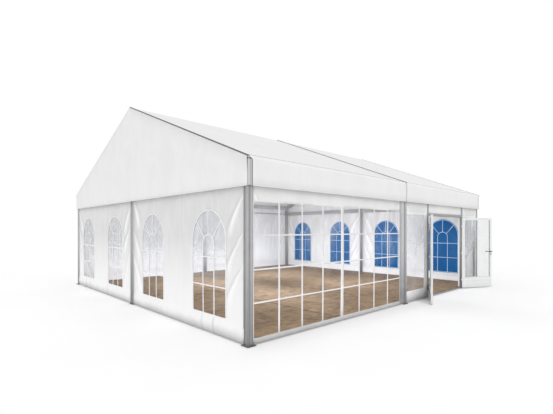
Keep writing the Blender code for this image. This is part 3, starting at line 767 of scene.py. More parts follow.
class Parts:
    """Solid shapes gathered into one piece."""

    def __init__(self):
        self.points = []
        self.faces = []

    def add(self, points, faces):
        """Takes in one shape."""
        first = len(self.points)
        self.points.extend(points)
        self.faces.extend([first + i for i in face] for face in faces)

    def block(self, low, high):
        """A block between two corners."""
        corners = [(x, y, z) for x in (low[0], high[0]) for y in (low[1], high[1]) for z in (low[2], high[2])]
        self.add(corners, [(0, 1, 3, 2), (4, 6, 7, 5), (0, 4, 5, 1), (2, 3, 7, 6), (0, 2, 6, 4), (1, 5, 7, 3)])

    def bar(self, outline, stations):
        """An outline carried through stations, each a function from outline points to places."""
        rings = [[tuple(place(p)) for p in outline] for place in stations]
        points = [p for ring in rings for p in ring]
        count = len(outline)
        faces = [(k * count + i, k * count + (i + 1) % count, (k + 1) * count + (i + 1) % count,
                  (k + 1) * count + i) for k in range(len(rings) - 1) for i in range(count)]
        faces += [tuple(range(count))[::-1], tuple((len(rings) - 1) * count + i for i in range(count))]
        self.add(points, faces)

    def rod(self, start, end, radius, sides=12, ease=0.0):
        """A round rod, with its rims eased where ease isn't 0."""
        start, end = Vector(start), Vector(end)
        axis = (end - start).normalized()
        side = axis.orthogonal().normalized()
        other = axis.cross(side)
        turns = [2 * math.pi * k / sides for k in range(sides)]
        steps = [(0.0, radius - ease), (ease, radius), ((end - start).length - ease, radius),
                 ((end - start).length, radius - ease)] if ease else [(0.0, radius), ((end - start).length, radius)]
        outline = [(math.cos(t), math.sin(t)) for t in turns]
        self.bar(outline, [lambda p, a=a, r=r: start + axis * a + (side * p[0] + other * p[1]) * r
                           for a, r in steps])

    def bead(self, path, radius, sides=6):
        """A round bead along a path."""
        path = np.array(path, float)
        ahead = np.gradient(path, axis=0)
        ahead /= np.linalg.norm(ahead, axis=1)[:, None]
        side = Vector(ahead[0]).orthogonal().normalized()
        stations = []
        for centre, tangent in zip(path, ahead):
            tangent = Vector(tangent)
            side = (side - tangent * side.dot(tangent)).normalized()
            other = tangent.cross(side)
            stations.append(lambda p, c=Vector(centre), s=side.copy(), o=other.copy():
                            c + (s * p[0] + o * p[1]) * radius)
        turns = [2 * math.pi * k / sides for k in range(sides)]
        self.bar([(math.cos(t), math.sin(t)) for t in turns], stations)

    def made(self, name, material, body="tent", slot=None, ease=0.0, smooth=False):
        """The gathered shapes as one piece, with its faces turned out and its edges eased."""
        piece = piece_of(name, self.points, self.faces, material, body, smooth)
        whole = bmesh.new()
        whole.from_mesh(piece.data)
        bmesh.ops.recalc_face_normals(whole, faces=whole.faces)
        whole.to_mesh(piece.data)
        whole.free()
        if ease:
            edge = piece.modifiers.new("eased edges", "BEVEL")
            edge.width = ease
            edge.segments = 2
            edge.limit_method = "ANGLE"
            edge.angle_limit = math.radians(38)
            edge.harden_normals = False
        return piece


def walked(loop, step):
    """The loop's points with more between them, at most step apart."""
    loop = np.array(loop, float)
    walk = []
    for start, end in zip(loop, np.roll(loop, -1, axis=0)):
        count = max(1, math.ceil(np.linalg.norm(end - start) / step))
        walk.extend(start + (end - start) * k / count for k in range(count))
    return np.array(walk)


def inside(points, loop):
    """Which points lie inside a loop."""
    x, y = points[:, 0], points[:, 1]
    found = np.zeros(len(points), bool)
    loop = np.array(loop, float)
    for (ax, ay), (bx, by) in zip(loop, np.roll(loop, -1, axis=0)):
        if ay == by:
            continue
        found ^= ((ay > y) != (by > y)) & (x < (bx - ax) * (y - ay) / (by - ay) + ax)
    return found


def cut_sheet(outline, holes, step, lines=(), more=()):
    """Points and triangles of a flat sheet with openings, fine enough to fold. lines and more add to its grid."""
    loops = [walked(loop, step) for loop in [outline, *holes]]
    low, high = np.min(outline, axis=0), np.max(outline, axis=0)
    levels = np.unique(np.round(np.concatenate([spaced(low[1], high[1], step)[1:-1], list(lines)]), 4))
    u, v = np.meshgrid(spaced(low[0], high[0], step)[1:-1], levels)
    inner = np.column_stack([u.ravel(), v.ravel()])
    keep = inside(inner, outline)
    for hole in holes:
        keep &= ~inside(inner, hole)
    if len(more):
        apart = np.min(np.linalg.norm(inner[:, None, :] - more[None, :, :], axis=2), axis=1)
        inner = np.vstack([inner[keep & (apart > 0.4 * step)], more])
        keep = inside(inner, outline)
    for loop in loops:
        near = inner[keep]
        if len(near):
            apart = np.min(np.linalg.norm(near[:, None, :] - loop[None, :, :], axis=2), axis=1)
            keep[np.flatnonzero(keep)[apart < 0.4 * step]] = False
    edges, first = [], 0
    for loop in loops:
        count = len(loop)
        edges.extend((first + i, first + (i + 1) % count) for i in range(count))
        first += count
    points = np.vstack([*loops, inner[keep]])
    found = delaunay_2d_cdt([Vector(p) for p in points], edges, [], 0, 1e-7)
    corners = np.array([tuple(p) for p in found[0]])
    triangles = np.array([f for f in found[2] if len(f) == 3])
    middles = corners[triangles].mean(axis=1)
    keep = inside(middles, outline) & (doubled_areas(corners, triangles) > 1e-6)
    for hole in holes:
        keep &= ~inside(middles, hole)
    return corners, triangles[keep]


def doubled_areas(points, triangles):
    """Twice the area of each of a flat sheet's triangles."""
    a, b, c = (points[triangles[:, k]] for k in range(3))
    return np.abs((b - a)[:, 0] * (c - a)[:, 1] - (b - a)[:, 1] * (c - a)[:, 0])


def flat_area(points, triangles):
    """Area of a flat sheet's triangles."""
    return float(doubled_areas(points, triangles).sum() / 2)


def rectangle(low_u, low_v, high_u, high_v):
    """A rectangle's corners."""
    return [(low_u, low_v), (high_u, low_v), (high_u, high_v), (low_u, high_v)]


def paint_light_and_shade(piece, tone):
    """Stores painted light, above 0, and painted shade, below 0, at each point of a piece: on a cloth's folds and
    edges, and along metal profiles.
    """
    layer = piece.data.attributes.new(PAINTED_SHADING, "FLOAT", "POINT")
    layer.data.foreach_set("value", np.clip(np.asarray(tone, float), -1.0, 1.0))
    return piece


def thicken(piece, thick, side=0.0):
    """Gives a sheet its thickness."""
    solid = piece.modifiers.new("thickness", "SOLIDIFY")
    solid.thickness = thick
    solid.offset = side
    solid.use_even_offset = False
    return piece


class Hanging:
    """Where a wall hangs, how it folds and where light and shade are painted on it. Its own places are u along it and
    v up.
    """

    def __init__(self, facing, span, top, seed, folds=3, creases=(), quiet=(), roll=0.30, clamps=(0.0, 0.0),
                 shades=((0.3, 0.022), (0.3, 0.022))):
        draw = random.Random(seed)
        self.roll = roll
        self.clamps = clamps
        self.shades = shades
        self.facing = facing
        self.span = span
        self.top = top
        self.quiet = quiet
        self.seed = seed
        self.pulls = []
        for from_high in (False, True):
            for k in range(folds):
                start = 2.24 - k * 1.68 / max(1, folds) + draw.uniform(-0.07, 0.07)
                self.pulls.append((from_high, start, draw.uniform(0.62, 0.95), draw.uniform(0.26, 0.40),
                                   draw.uniform(0.036, 0.062), draw.uniform(0.75, 1.0)))
        self.creases = [(u, draw.uniform(0.004, 0.009), draw.uniform(0.6, 1.0)) for u in creases]
        self.phase = draw.uniform(0, 6.28)

    def gaps(self, u):
        """How far places are from the low and from the high edge of the cloth that isn't clamped."""
        return u - self.span[0] - self.clamps[0], self.span[1] - u - self.clamps[1]

    def relief(self, u, v):
        """How far the cloth stands out at a place."""
        low, high = self.span
        size = sizes()
        across = np.clip((u - low) / (high - low), 0, 1)
        up = np.clip((v - WALL_FOOT) / (self.top - WALL_FOOT), 0, 1)
        held = eased(np.minimum(*self.gaps(u)) / 0.03)
        hung = eased((self.top - v) / 0.3)
        out = size.wall_billow * np.sin(math.pi * across) * np.sin(math.pi * up) * (0.6 + 0.4 * np.sin(
            3.1 * u + self.phase))
        calm = np.ones_like(u)
        for a, b, c, d in self.quiet:
            apart = np.hypot(np.maximum(np.maximum(a - u, u - c), 0), np.maximum(np.maximum(b - v, v - d), 0))
            calm = np.minimum(calm, 0.12 + 0.88 * eased(apart / 0.10))
        out = out + size.wall_fold * self.folds(u, v) * calm
        for place, wide, deep in self.creases:
            low_part = eased((WINDOW_FOOT - 0.01 - v) / 0.05)
            out = out + 0.004 * deep * np.exp(-((u - place) / wide) ** 2) * low_part
        hem = size.hem_bulge * min(1.0, self.roll / 0.16)
        roll = hem * np.sin(math.pi * np.clip((self.roll - v) / (self.roll - WALL_FOOT), 0, 1)) ** 1.2
        roll = roll * (1.0 + 0.18 * np.sin(5.3 * u + self.phase))
        return hung * held * out + held * roll

    def folds(self, u, v):
        """How high the pulled folds stand at a place, from about -0.5 in a hollow to 1 on a crest."""
        gaps = self.gaps(u)
        height = np.zeros_like(u)
        for from_high, start, long, reach, wide, deep in self.pulls:
            inner = np.clip((start - v) / long, 0, 1)
            side = gaps[1] if from_high else gaps[0]
            centre = 0.01 + reach * np.sin(math.pi / 2 * inner) ** 1.15
            spread = wide * (0.40 + 0.85 * inner)
            body = np.exp(-((side - centre) / spread) ** 2)
            body -= 0.5 * np.exp(-((side - centre - 1.7 * spread) / spread) ** 2)
            height = height + deep * body * np.sin(math.pi * inner ** 0.8) ** 0.7
        return height

    def tone(self, points):
        """Painted light and shade at points of the wall: a highlight on each fold's ridge, shade in its trough and in
        the creases, beside its edges and under the roof's hanging edge, and painted light low on the rear and far
        walls.
        """
        u, v = np.asarray(points, float).T
        gaps = self.gaps(u)
        clear = eased(np.minimum(*gaps) / 0.012)
        for a, b, c, d in self.quiet:
            apart = np.hypot(np.maximum(np.maximum(a - u, u - c), 0), np.maximum(np.maximum(b - v, v - d), 0))
            clear = np.minimum(clear, eased(apart / 0.06))
        folds = self.folds(u, v) * clear
        # Painted highlight on the folds' ridges and painted shade in their troughs.
        shade = np.where(folds > 0, 1.35, 0.9) * folds
        # Painted shade in the creases under the windows.
        for place, wide, deep in self.creases:
            shade = shade - 0.5 * deep * np.exp(-((u - place) / wide) ** 2) * eased((WINDOW_FOOT - 0.01 - v) / 0.04)
        # Painted shadow beside the wall's two edges.
        for gap, (deep, wide) in zip(gaps, self.shades):
            shade = shade - deep * np.exp(-np.maximum(gap, 0.0) / wide)
        # Painted shadow under the roof's hanging edge.
        if self.facing == "front":
            shade = shade - 0.16 * np.exp(-np.maximum(HEM_HIGH - v, 0.0) / 0.13)
        # Painted light at the foot of the far gable's walls.
        if self.facing == "far":
            shade = shade + 0.9 * (1.0 - eased((v - 0.05) / 0.30))
        # Painted light on the lower part of the rear walls.
        if self.facing == "rear":
            shade = shade + 0.8 * (1.0 - eased((v - 0.50) / 0.70))
        return shade

    def place(self, points, out=0.0):
        """Places in the marquee of points on the wall, moved out by out. The foot hangs lower between the posts."""
        u, v = np.asarray(points, float).T
        away = self.relief(u, v) + out
        low, high = self.span
        v = v - FOOT_DROP * eased((0.20 - v) / 0.18) * eased((np.minimum(u - low, high - u) - 0.04) / 0.04)
        if self.facing in ENDS:
            return np.column_stack([ENDS[self.facing] * (WALL_OUT_X + away), u, v])
        return np.column_stack([u, SIDES[self.facing] * (WALL_OUT_Y + away), v])

    def turned(self, triangles):
        """Triangles turned so that they face out of the marquee."""
        outwards = self.facing in ("far", "front")
        return triangles if outwards else triangles[:, ::-1]


def pane_gap(points, panes):
    """How far points lie inside the rectangular panes that they are in, and 0 outside them all."""
    u, v = np.asarray(points, float).T
    gap = np.zeros_like(u)
    for pane in panes:
        (a, b), (c, d) = pane[0], pane[2]
        gap = np.maximum(gap, np.minimum(np.minimum(u - a, c - u), np.minimum(v - b, d - v)))
    return gap


def hang_cloth(wall, name, outline, holes, step, material, thick, out=0.0, lines=(), crinkle=0.0, panes=()):
    """One hanging sheet with its openings. Gives the piece and its flat area. It crinkles inside its panes."""
    points, triangles = cut_sheet(outline, holes, step, lines)
    away = out
    if crinkle:
        rough = np.array([noise.fractal(Vector((p[0] * 4.0, p[1] * 3.0, wall.seed * 1.7)), 0.7, 2.1, 3)
                          for p in points])
        away = out + crinkle * rough * eased(pane_gap(points, panes) / 0.09)
    piece = piece_of(name, wall.place(points, away), wall.turned(triangles), material, "tent")
    paint_light_and_shade(piece, wall.tone(points))
    thicken(piece, thick)
    return piece, flat_area(points, triangles)


def ribbon(path, wide, step):
    """Points and faces of a flat ribbon along a path in u and v."""
    path = walked_line(path, step)
    ahead = np.gradient(path, axis=0)
    ahead /= np.linalg.norm(ahead, axis=1)[:, None]
    side = np.column_stack([-ahead[:, 1], ahead[:, 0]]) * wide / 2
    points = np.vstack([path - side, path + side])
    count = len(path)
    return points, [(i, i + 1, count + i + 1, count + i) for i in range(count - 1)]


def walked_line(path, step):
    """An open line's points with more between them, at most step apart."""
    path = np.array(path, float)
    walk = [path[0]]
    for start, end in zip(path, path[1:]):
        count = max(1, math.ceil(np.linalg.norm(end - start) / step))
        walk.extend(start + (end - start) * k / count for k in range(1, count + 1))
    return np.array(walk)


def shifted(loop, away):
    """A loop moved out of itself by a distance. The loop runs anticlockwise."""
    loop = np.array(loop, float)
    before, after = loop - np.roll(loop, 1, axis=0), np.roll(loop, -1, axis=0) - loop
    normals = []
    for a, b in zip(before, after):
        a, b = a / np.linalg.norm(a), b / np.linalg.norm(b)
        first, second = np.array([a[1], -a[0]]), np.array([b[1], -b[0]])
        both = first + second
        normals.append(both / max(0.3, float(both @ first)))
    return loop + np.array(normals) * away


class Strips:
    """Flat welded strips on a wall, gathered into one piece."""

    def __init__(self, wall):
        self.wall = wall
        self.parts = Parts()
        self.turn = wall.facing in ("far", "front")

    def _add(self, points, faces, out):
        self.parts.add([tuple(p) for p in self.wall.place(points, out)],
                       [f if self.turn else f[::-1] for f in faces])

    def line(self, path, wide, out):
        """A strip along a path."""
        points, faces = ribbon(path, wide, 0.05)
        self._add(points, faces, out)

    def ring(self, loop, inner, outer, out):
        """A strip round an opening."""
        walk = walked(loop, 0.06)
        points = np.vstack([shifted(walk, inner), shifted(walk, outer)])
        count = len(walk)
        self._add(points, [(i, count + i, count + (i + 1) % count, (i + 1) % count) for i in range(count)], out)

    def made(self, name, thick, slot, material="welded strip"):
        """The strips as one piece."""
        piece = piece_of(name, self.parts.points, self.parts.faces, material, "tent", False)
        return thicken(piece, thick)


def arch(middle, wide=WINDOW_WIDE, foot=WINDOW_FOOT, spring=WINDOW_SPRING, rise=WINDOW_RISE, count=24):
    """The outline of an arched window, anticlockwise from its lower left corner."""
    curve = [(middle + wide / 2 * math.cos(math.pi * k / count), spring + rise * math.sin(math.pi * k / count))
             for k in range(count + 1)]
    return [(middle - wide / 2, foot), (middle + wide / 2, foot), *curve]


def cad(names, material, ease=0.0):
    """Gives CAD nodes their finish, and eased edges where ease isn't 0."""
    for name in names:
        part = frame["nodes"][name]
        for place in part.material_slots:
            place.material = finish(material)
        if ease:
            merge = part.modifiers.new("joined corners", "WELD")
            merge.merge_threshold = 0.00001
            edge = part.modifiers.new("eased edges", "BEVEL")
            edge.width = ease
            edge.segments = 2
            edge.limit_method = "ANGLE"
            edge.angle_limit = math.radians(38)


def ready():
    """The usual answer of an operator that is done."""
    return {"FINISHED"}


# The frame.


def grooved(wide, corner=0.012, groove=0.0333):
    """Outline of a square drawn profile: two slots for the walls' edges and a sunk middle on each side."""
    half = wide / 2
    side = [(-half + corner, 0.0)]
    for middle in (-groove, groove):
        slot = [(-0.0040, 0.0), (-0.0040, -0.0030), (-0.0060, -0.0030), (-0.0060, -0.0105),
                (0.0060, -0.0105), (0.0060, -0.0030), (0.0040, -0.0030), (0.0040, 0.0)]
        part = [(middle + s, d) for s, d in slot]
        side += part
        if middle < 0:
            inner = abs(middle) - 0.012
            side += [(-inner, 0.0), (-inner + 0.002, -0.0030), (inner - 0.002, -0.0030), (inner, 0.0)]
    outline = []
    for turn in range(4):
        angle = turn * math.pi / 2
        cos, sin = math.cos(angle), math.sin(angle)
        for s, d in side:
            x, y = s, -(half + d)
            outline.append((x * cos - y * sin, x * sin + y * cos))
        for k in range(1, 4):
            bend = -math.pi / 2 + math.pi / 2 * k / 4
            x, y = half - corner + corner * math.cos(bend), -half + corner + corner * math.sin(bend)
            outline.append((x * cos - y * sin, x * sin + y * cos))
    return outline


def groove_tone(point, wide):
    """Painted light and shade at a point of a post's profile: painted shade in the slots, and a painted gradient that
    gets lighter along each face.
    """
    x, y = point
    sunk = wide / 2 - max(abs(x), abs(y))
    along = (x if y < 0 else -x) if abs(y) >= abs(x) else (-y if x < 0 else y)
    return max(-1.0, -0.16 + 1.7 * along / wide - (0.30 if sunk > 0.002 else 0.0))


class MARQUEE_OT_posts(bpy.types.Operator):
    """Makes the six side posts and the two gable posts, with their foot plates and bolts"""
    bl_idname = "marquee.posts"
    bl_label = "Posts"

    def execute(self, context):
        names = {-4.5: "near", 0.0: "middle", 4.5: "far"}
        for x in POST_LINES:
            for side, sign in SIDES.items():
                self.upright(f"post_{names[x]}_{side}", sign * SIDE_LINE, 0.10, 0.0205, 0.08)
        for end, x_sign in ENDS.items():
            self.upright(f"gable_post_{end}", 0.0, 0.08, 0.127, 0.07)
            for side, y_sign in SIDES.items():
                self.corner(f"corner_profile_{end}_{side}", x_sign, y_sign)
                self.track(f"wall_track_{end}_{side}", x_sign, [(y_sign * a, y_sign * b) for a, b in (
                    (0.041, 0.041 + TRACK_WIDE), (3.949 - CORNER_TRACK, 3.949))], True)
        for side, y_sign in SIDES.items():
            left = LEFT_TRACK if side == "front" else RIGHT_TRACK
            self.track(f"wall_track_middle_{side}", y_sign, [(-0.052, -0.052 - left), (0.052, 0.052 + RIGHT_TRACK)],
                       False)
        return ready()

    def track(self, name, sign, spans, on_gable):
        """Flat lipped profiles on the outside of the walls, beside the posts, that hold the walls' edges."""
        channel = Parts()
        tones = []
        face = (WALL_OUT_X if on_gable else WALL_OUT_Y) + 0.0015
        for span in spans:
            start, end = min(span), max(span)
            outline = [(start, 0.0), (end, 0.0), (end, 0.0065), (end - 0.006, 0.0065), (end - 0.006, 0.0035),
                       (start + 0.006, 0.0035), (start + 0.006, 0.0065), (start, 0.0065)]
            places = [(sign * (face + out), at) if on_gable else (at, sign * (face + out)) for at, out in outline]
            channel.bar(places, [lambda p, z=z: (p[0], p[1], z) for z in (0.016, 2.30)])
            # Painted light and shade: a gradient across each track, lighter towards one edge.
            light = 1.0 if on_gable == (sign > 0) else -1.0
            tones += [light * (at - (start + end) / 2) / (end - start) - 0.15 for at, out in outline] * 2
        paint_light_and_shade(channel.made(name, "track metal", "tent", "frame_aluminium"), tones)

    def corner(self, name, x_sign, y_sign):
        """The profile that closes the corner between a gable cover and the roof's hanging edge."""
        outline = [(4.5015, 4.0515), (4.5015, 4.0790), (4.5050, 4.0840), (4.5300, 4.0860), (4.5330, 4.0815),
                   (4.5370, 4.0815), (4.5400, 4.0860), (4.5640, 4.0800), (4.5735, 4.0740), (4.5755, 4.0625),
                   (4.5520, 4.0625), (4.5520, 4.0515)]
        # Painted light and shade at each point of the outline.
        tones = [-0.3, -0.3, 0.3, 0.2, -0.6, -0.6, 0.35, 0.3, 0.0, -0.4, -0.9, -0.9]
        # The far profiles get more painted shade.
        if x_sign > 0:
            tones = [t - 0.6 for t in tones]
        profile = Parts()
        profile.bar([(x_sign * x, y_sign * y) for x, y in outline],
                    [lambda p, z=z: (p[0], p[1], z) for z in (HEM_HIGH + 0.006, 2.655)])
        paint_light_and_shade(profile.made(name, "corner metal", "tent", "frame_aluminium"), tones * 2)

    def upright(self, node_name, y, wide, under, plate):
        """One grooved post with its plate and bolts."""
        low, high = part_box(node_name)
        centre = (low.x + high.x) / 2
        shaft = Parts()
        outline = grooved(wide, 0.012 if wide > 0.09 else 0.010, 0.0333 if wide > 0.09 else 0.025)
        shaft.bar(outline, [lambda p: (centre + p[0], y + p[1], 0.012),
                            lambda p: (centre + p[0], y + p[1], float(roof_high(y + p[1])) - under)])
        post = shaft.made(node_name + "_shaft", "upright metal", "tent", "frame_aluminium")
        # Painted light and shade along the post's profile.
        paint_light_and_shade(post, [groove_tone(p, wide) for p in outline] * 2)
        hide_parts(node_name)
        foot = Parts()
        foot.block((centre - plate, y - plate, 0.0), (centre + plate, y + plate, 0.012))
        foot.made(node_name + "_plate", "plate steel", "tent", "frame_aluminium", 0.002)
        bolts = Parts()
        reach = plate - 0.015
        for dx in (-reach, reach):
            for dy in (-reach, reach):
                at = (centre + dx, y + dy)
                bolts.rod((*at, 0.012), (*at, 0.0145), 0.0115, 20, 0.0006)
                bolts.rod((*at, 0.0145), (*at, 0.0225), 0.0088, 6, 0.0008)
        bolts.made(node_name + "_bolts", "plate steel", "tent", "frame_aluminium")


class MARQUEE_OT_beams(bpy.types.Operator):
    """Finishes the rafters, purlins and gable beams, and adds the rails' edges and the rods that the rear walls hang
    on
    """
    bl_idname = "marquee.beams"
    bl_label = "Rafters and purlins"

    def execute(self, context):
        names = list(frame["nodes"])
        cad([n for n in names if n.startswith("rafter_")], "cross metal")
        cad([n for n in names if n.startswith(("ridge_purlin", "eave_purlin"))], "long metal")
        cad([n for n in names if n.startswith("gable_beam")], "cross metal")
        for end, sign in ENDS.items():
            self.rail(f"rail_edge_{end}", -1, [(sign * x, z) for x, z in (
                (4.5812, -0.0070), (4.5862, -0.0070), (4.5862, 0.0080), (4.5700, 0.0080), (4.5700, 0.0110),
                (4.5560, 0.0110), (4.5560, 0.0060), (4.5812, 0.0060))])
            self.rail(f"rail_edge_{end}_rear", 1, [(sign * x, z) for x, z in (
                (4.5780, 0.0055), (4.5780, 0.0105), (4.5560, 0.0105), (4.5560, 0.0055))])
        for side, sign in SIDES.items():
            self.rail(f"rail_cap_{side}", sign, [(-0.0165, 0.0020), (0.0165, 0.0020), (0.0165, 0.0160),
                                                 (0.0120, 0.0200), (0.0040, 0.0200), (0.0040, 0.0140),
                                                 (-0.0040, 0.0140), (-0.0040, 0.0200), (-0.0120, 0.0200),
                                                 (-0.0165, 0.0160)])
        self.wall_rods()
        return ready()

    def wall_rods(self):
        """Thin rods inside, between the rear posts, that the rear walls' heads hang on."""
        rods = Parts()
        for x in (POST_LINES[0], POST_LINES[1]):
            rods.rod((x + 0.052, 4.002, 2.372), (x + 4.448, 4.002, 2.372), 0.016, 16, 0.001)
        rods.made("wall_rods_rear", "long metal", "tent", "frame_aluminium", 0.0, True)

    def rail(self, name, sign, outline):
        """A rail edge from the eave to the ridge, over the roof's line, dark partly as painted shade for the gap
        beside it.
        """
        rail = Parts()
        rail.bar(outline, [lambda p, y=y: (p[0], sign * y, float(roof_high(y)) + p[1]) for y in (4.088, 0.0)])
        rail.made(name, "rail metal", "tent", "frame_aluminium", 0.0008)


# The covers.


def roof_path(step):
    """The roof's line across the marquee, from the front hem over the ridge to the rear hem."""
    bend, drop = 0.034, 0.045
    rows = [(EAVE_OUT, float(z)) for z in spaced(HEM_HIGH, roof_high(EAVE_OUT) - drop, 0.03)]
    start, corner = rows[-1], (EAVE_OUT, float(roof_high(EAVE_OUT)))
    end = (EAVE_OUT - bend, float(roof_high(EAVE_OUT - bend)))
    for k in range(1, 7):
        t = k / 7
        rows.append(tuple((1 - t) ** 2 * a + 2 * t * (1 - t) * b + t * t * c
                          for a, b, c in zip(start, corner, end)))
    slope = [(float(y), float(roof_high(y))) for y in spaced(0.0, EAVE_OUT - bend, step)[::-1]]
    half = rows + slope[:-1]
    ridge = [(0.012, RIDGE_HIGH - 0.0056), (0.004, RIDGE_HIGH - 0.0040)]
    front = [(-y, z) for y, z in half + ridge]
    return np.array(front + [(y, z) for y, z in (half + ridge)[::-1]])


class MARQUEE_OT_roof_covers(bpy.types.Operator):
    """Makes the two roof covers with their hanging edges, each one curved sheet"""
    bl_idname = "marquee.roof_covers"
    bl_label = "Roof covers"

    def execute(self, context):
        size = sizes()
        path = roof_path(0.055)
        for end, seed in (("near", 11), ("far", 12)):
            self.cover(end, seed, path, size)
        return ready()

    def cover(self, end, seed, path, size):
        """One cover from hem to hem."""
        low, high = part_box(f"roof_cover_{end}")
        span = (low.x, high.x)
        columns = spaced(low.x, high.x, 0.055)
        x = np.tile(columns, len(path))
        y = np.repeat(path[:, 0], len(columns))
        z = np.repeat(path[:, 1], len(columns))
        place = self.laid(x, y, z, span, seed, size)
        wide = len(columns)
        faces = [(r * wide + c, r * wide + c + 1, (r + 1) * wide + c + 1, (r + 1) * wide + c)
                 for r in range(len(path) - 1) for c in range(wide - 1)]
        cover = piece_of(f"roof_cloth_{end}", place, faces, "cover cloth", "tent")
        hanging = np.abs(y) >= EAVE_OUT - 0.002
        # Painted shade on the hanging edge, deeper towards its hem.
        paint_light_and_shade(cover, hanging * (-0.045 - 0.24 * (1.0 - eased((z - HEM_HIGH) / 0.15))))
        thicken(cover, size.cloth_thick, -1.0)
        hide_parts(f"roof_cover_{end}")
        hems = Parts()
        for side in (-1, 1):
            points = self.laid(columns, np.full_like(columns, side * EAVE_OUT),
                               np.full_like(columns, HEM_HIGH + 0.004), span, seed, size)
            points[:, 1] -= side * 0.001
            hems.bead(points, 0.005, 8)
        for edge in span:
            inner = edge + (0.006 if edge == low.x else -0.006)
            line = self.laid(np.full(len(path), inner), path[:, 0], path[:, 1], span, seed, size)
            hems.bead(line[1:-1] + np.array([0, 0, 0.002]), 0.0042, 8)
        beads = hems.made(f"roof_edges_{end}", "welded strip", "tent", "cover_pvc", 0.0, True)
        # A grey welt along each eave; its grey draws the painted shade line at the bend between roof and hanging
        # edge.
        piping = Parts()
        for side in (-1, 1):
            inner = side * (EAVE_OUT - 0.062)
            level = np.full_like(columns, float(roof_high(inner)) + 0.0015)
            piping.bead(self.laid(columns, np.full_like(columns, inner), level, span, seed, size), 0.0048, 8)
        welt = piping.made(f"eave_piping_{end}", "grey piping", "tent", "cover_pvc", 0.0, True)

    def laid(self, x, y, z, span, seed, size):
        """Places on the cover, sagged, folded and waved."""
        across = np.clip((x - span[0]) / (span[1] - span[0]), 0, 1)
        held = eased(np.minimum(x - span[0], span[1] - x) / 0.12)
        slope = eased((z - roof_high(EAVE_OUT)) / 0.25)
        part = np.clip(np.abs(y) / SIDE_LINE, 0, 1)
        sag = size.roof_sag * np.sin(math.pi * across) * np.sin(math.pi * part) ** 1.2 * slope
        soft = np.array([noise.fractal(Vector((a * 0.9, b * 0.6, seed)), 0.8, 2.0, 3) for a, b in zip(x, y)])
        ease = np.minimum(eased((np.abs(y) - 0.15) / 0.5), eased((SIDE_LINE - 0.2 - np.abs(y)) / 0.5))
        pulls = np.zeros_like(x)
        for k in range(9):
            for mirrored in (False, True):
                side = (span[1] - x) if mirrored else (x - span[0])
                start = 0.4 + 0.42 * k
                along = np.clip((np.abs(y) - start) / 0.9, 0, 1)
                pulls += np.exp(-((side - 0.05 - 0.35 * along) / 0.05) ** 2) * np.sin(math.pi * along)
        z = z - (sag + 0.007 * soft * ease * slope) * held - 0.004 * pulls * held * ease * slope
        corner = VALANCE_END - max(abs(span[0]), abs(span[1]))
        outer = across if span[1] > 1.0 else 1.0 - across
        end = 1.0 if span[1] > 1.0 else -1.0
        x = x + end * corner * outer * (1.0 - eased((z - roof_high(EAVE_OUT) + 0.045) / 0.045))
        hanging = np.clip((roof_high(EAVE_OUT) - 0.03 - z) / 0.36, 0, 1)
        edge = np.abs(y) >= EAVE_OUT - 0.002
        wave = (np.sin(2 * math.pi * x / 0.62 + seed) + 0.6 * np.sin(2 * math.pi * x / 0.37 + 2.0 * seed)
                + 0.5 * np.sin(2 * math.pi * x / 1.45 + 0.7 * seed))
        out = size.valance_wave * (0.25 + 0.5 * wave) * hanging * held * edge
        return np.column_stack([x, y + np.sign(y) * out, z])


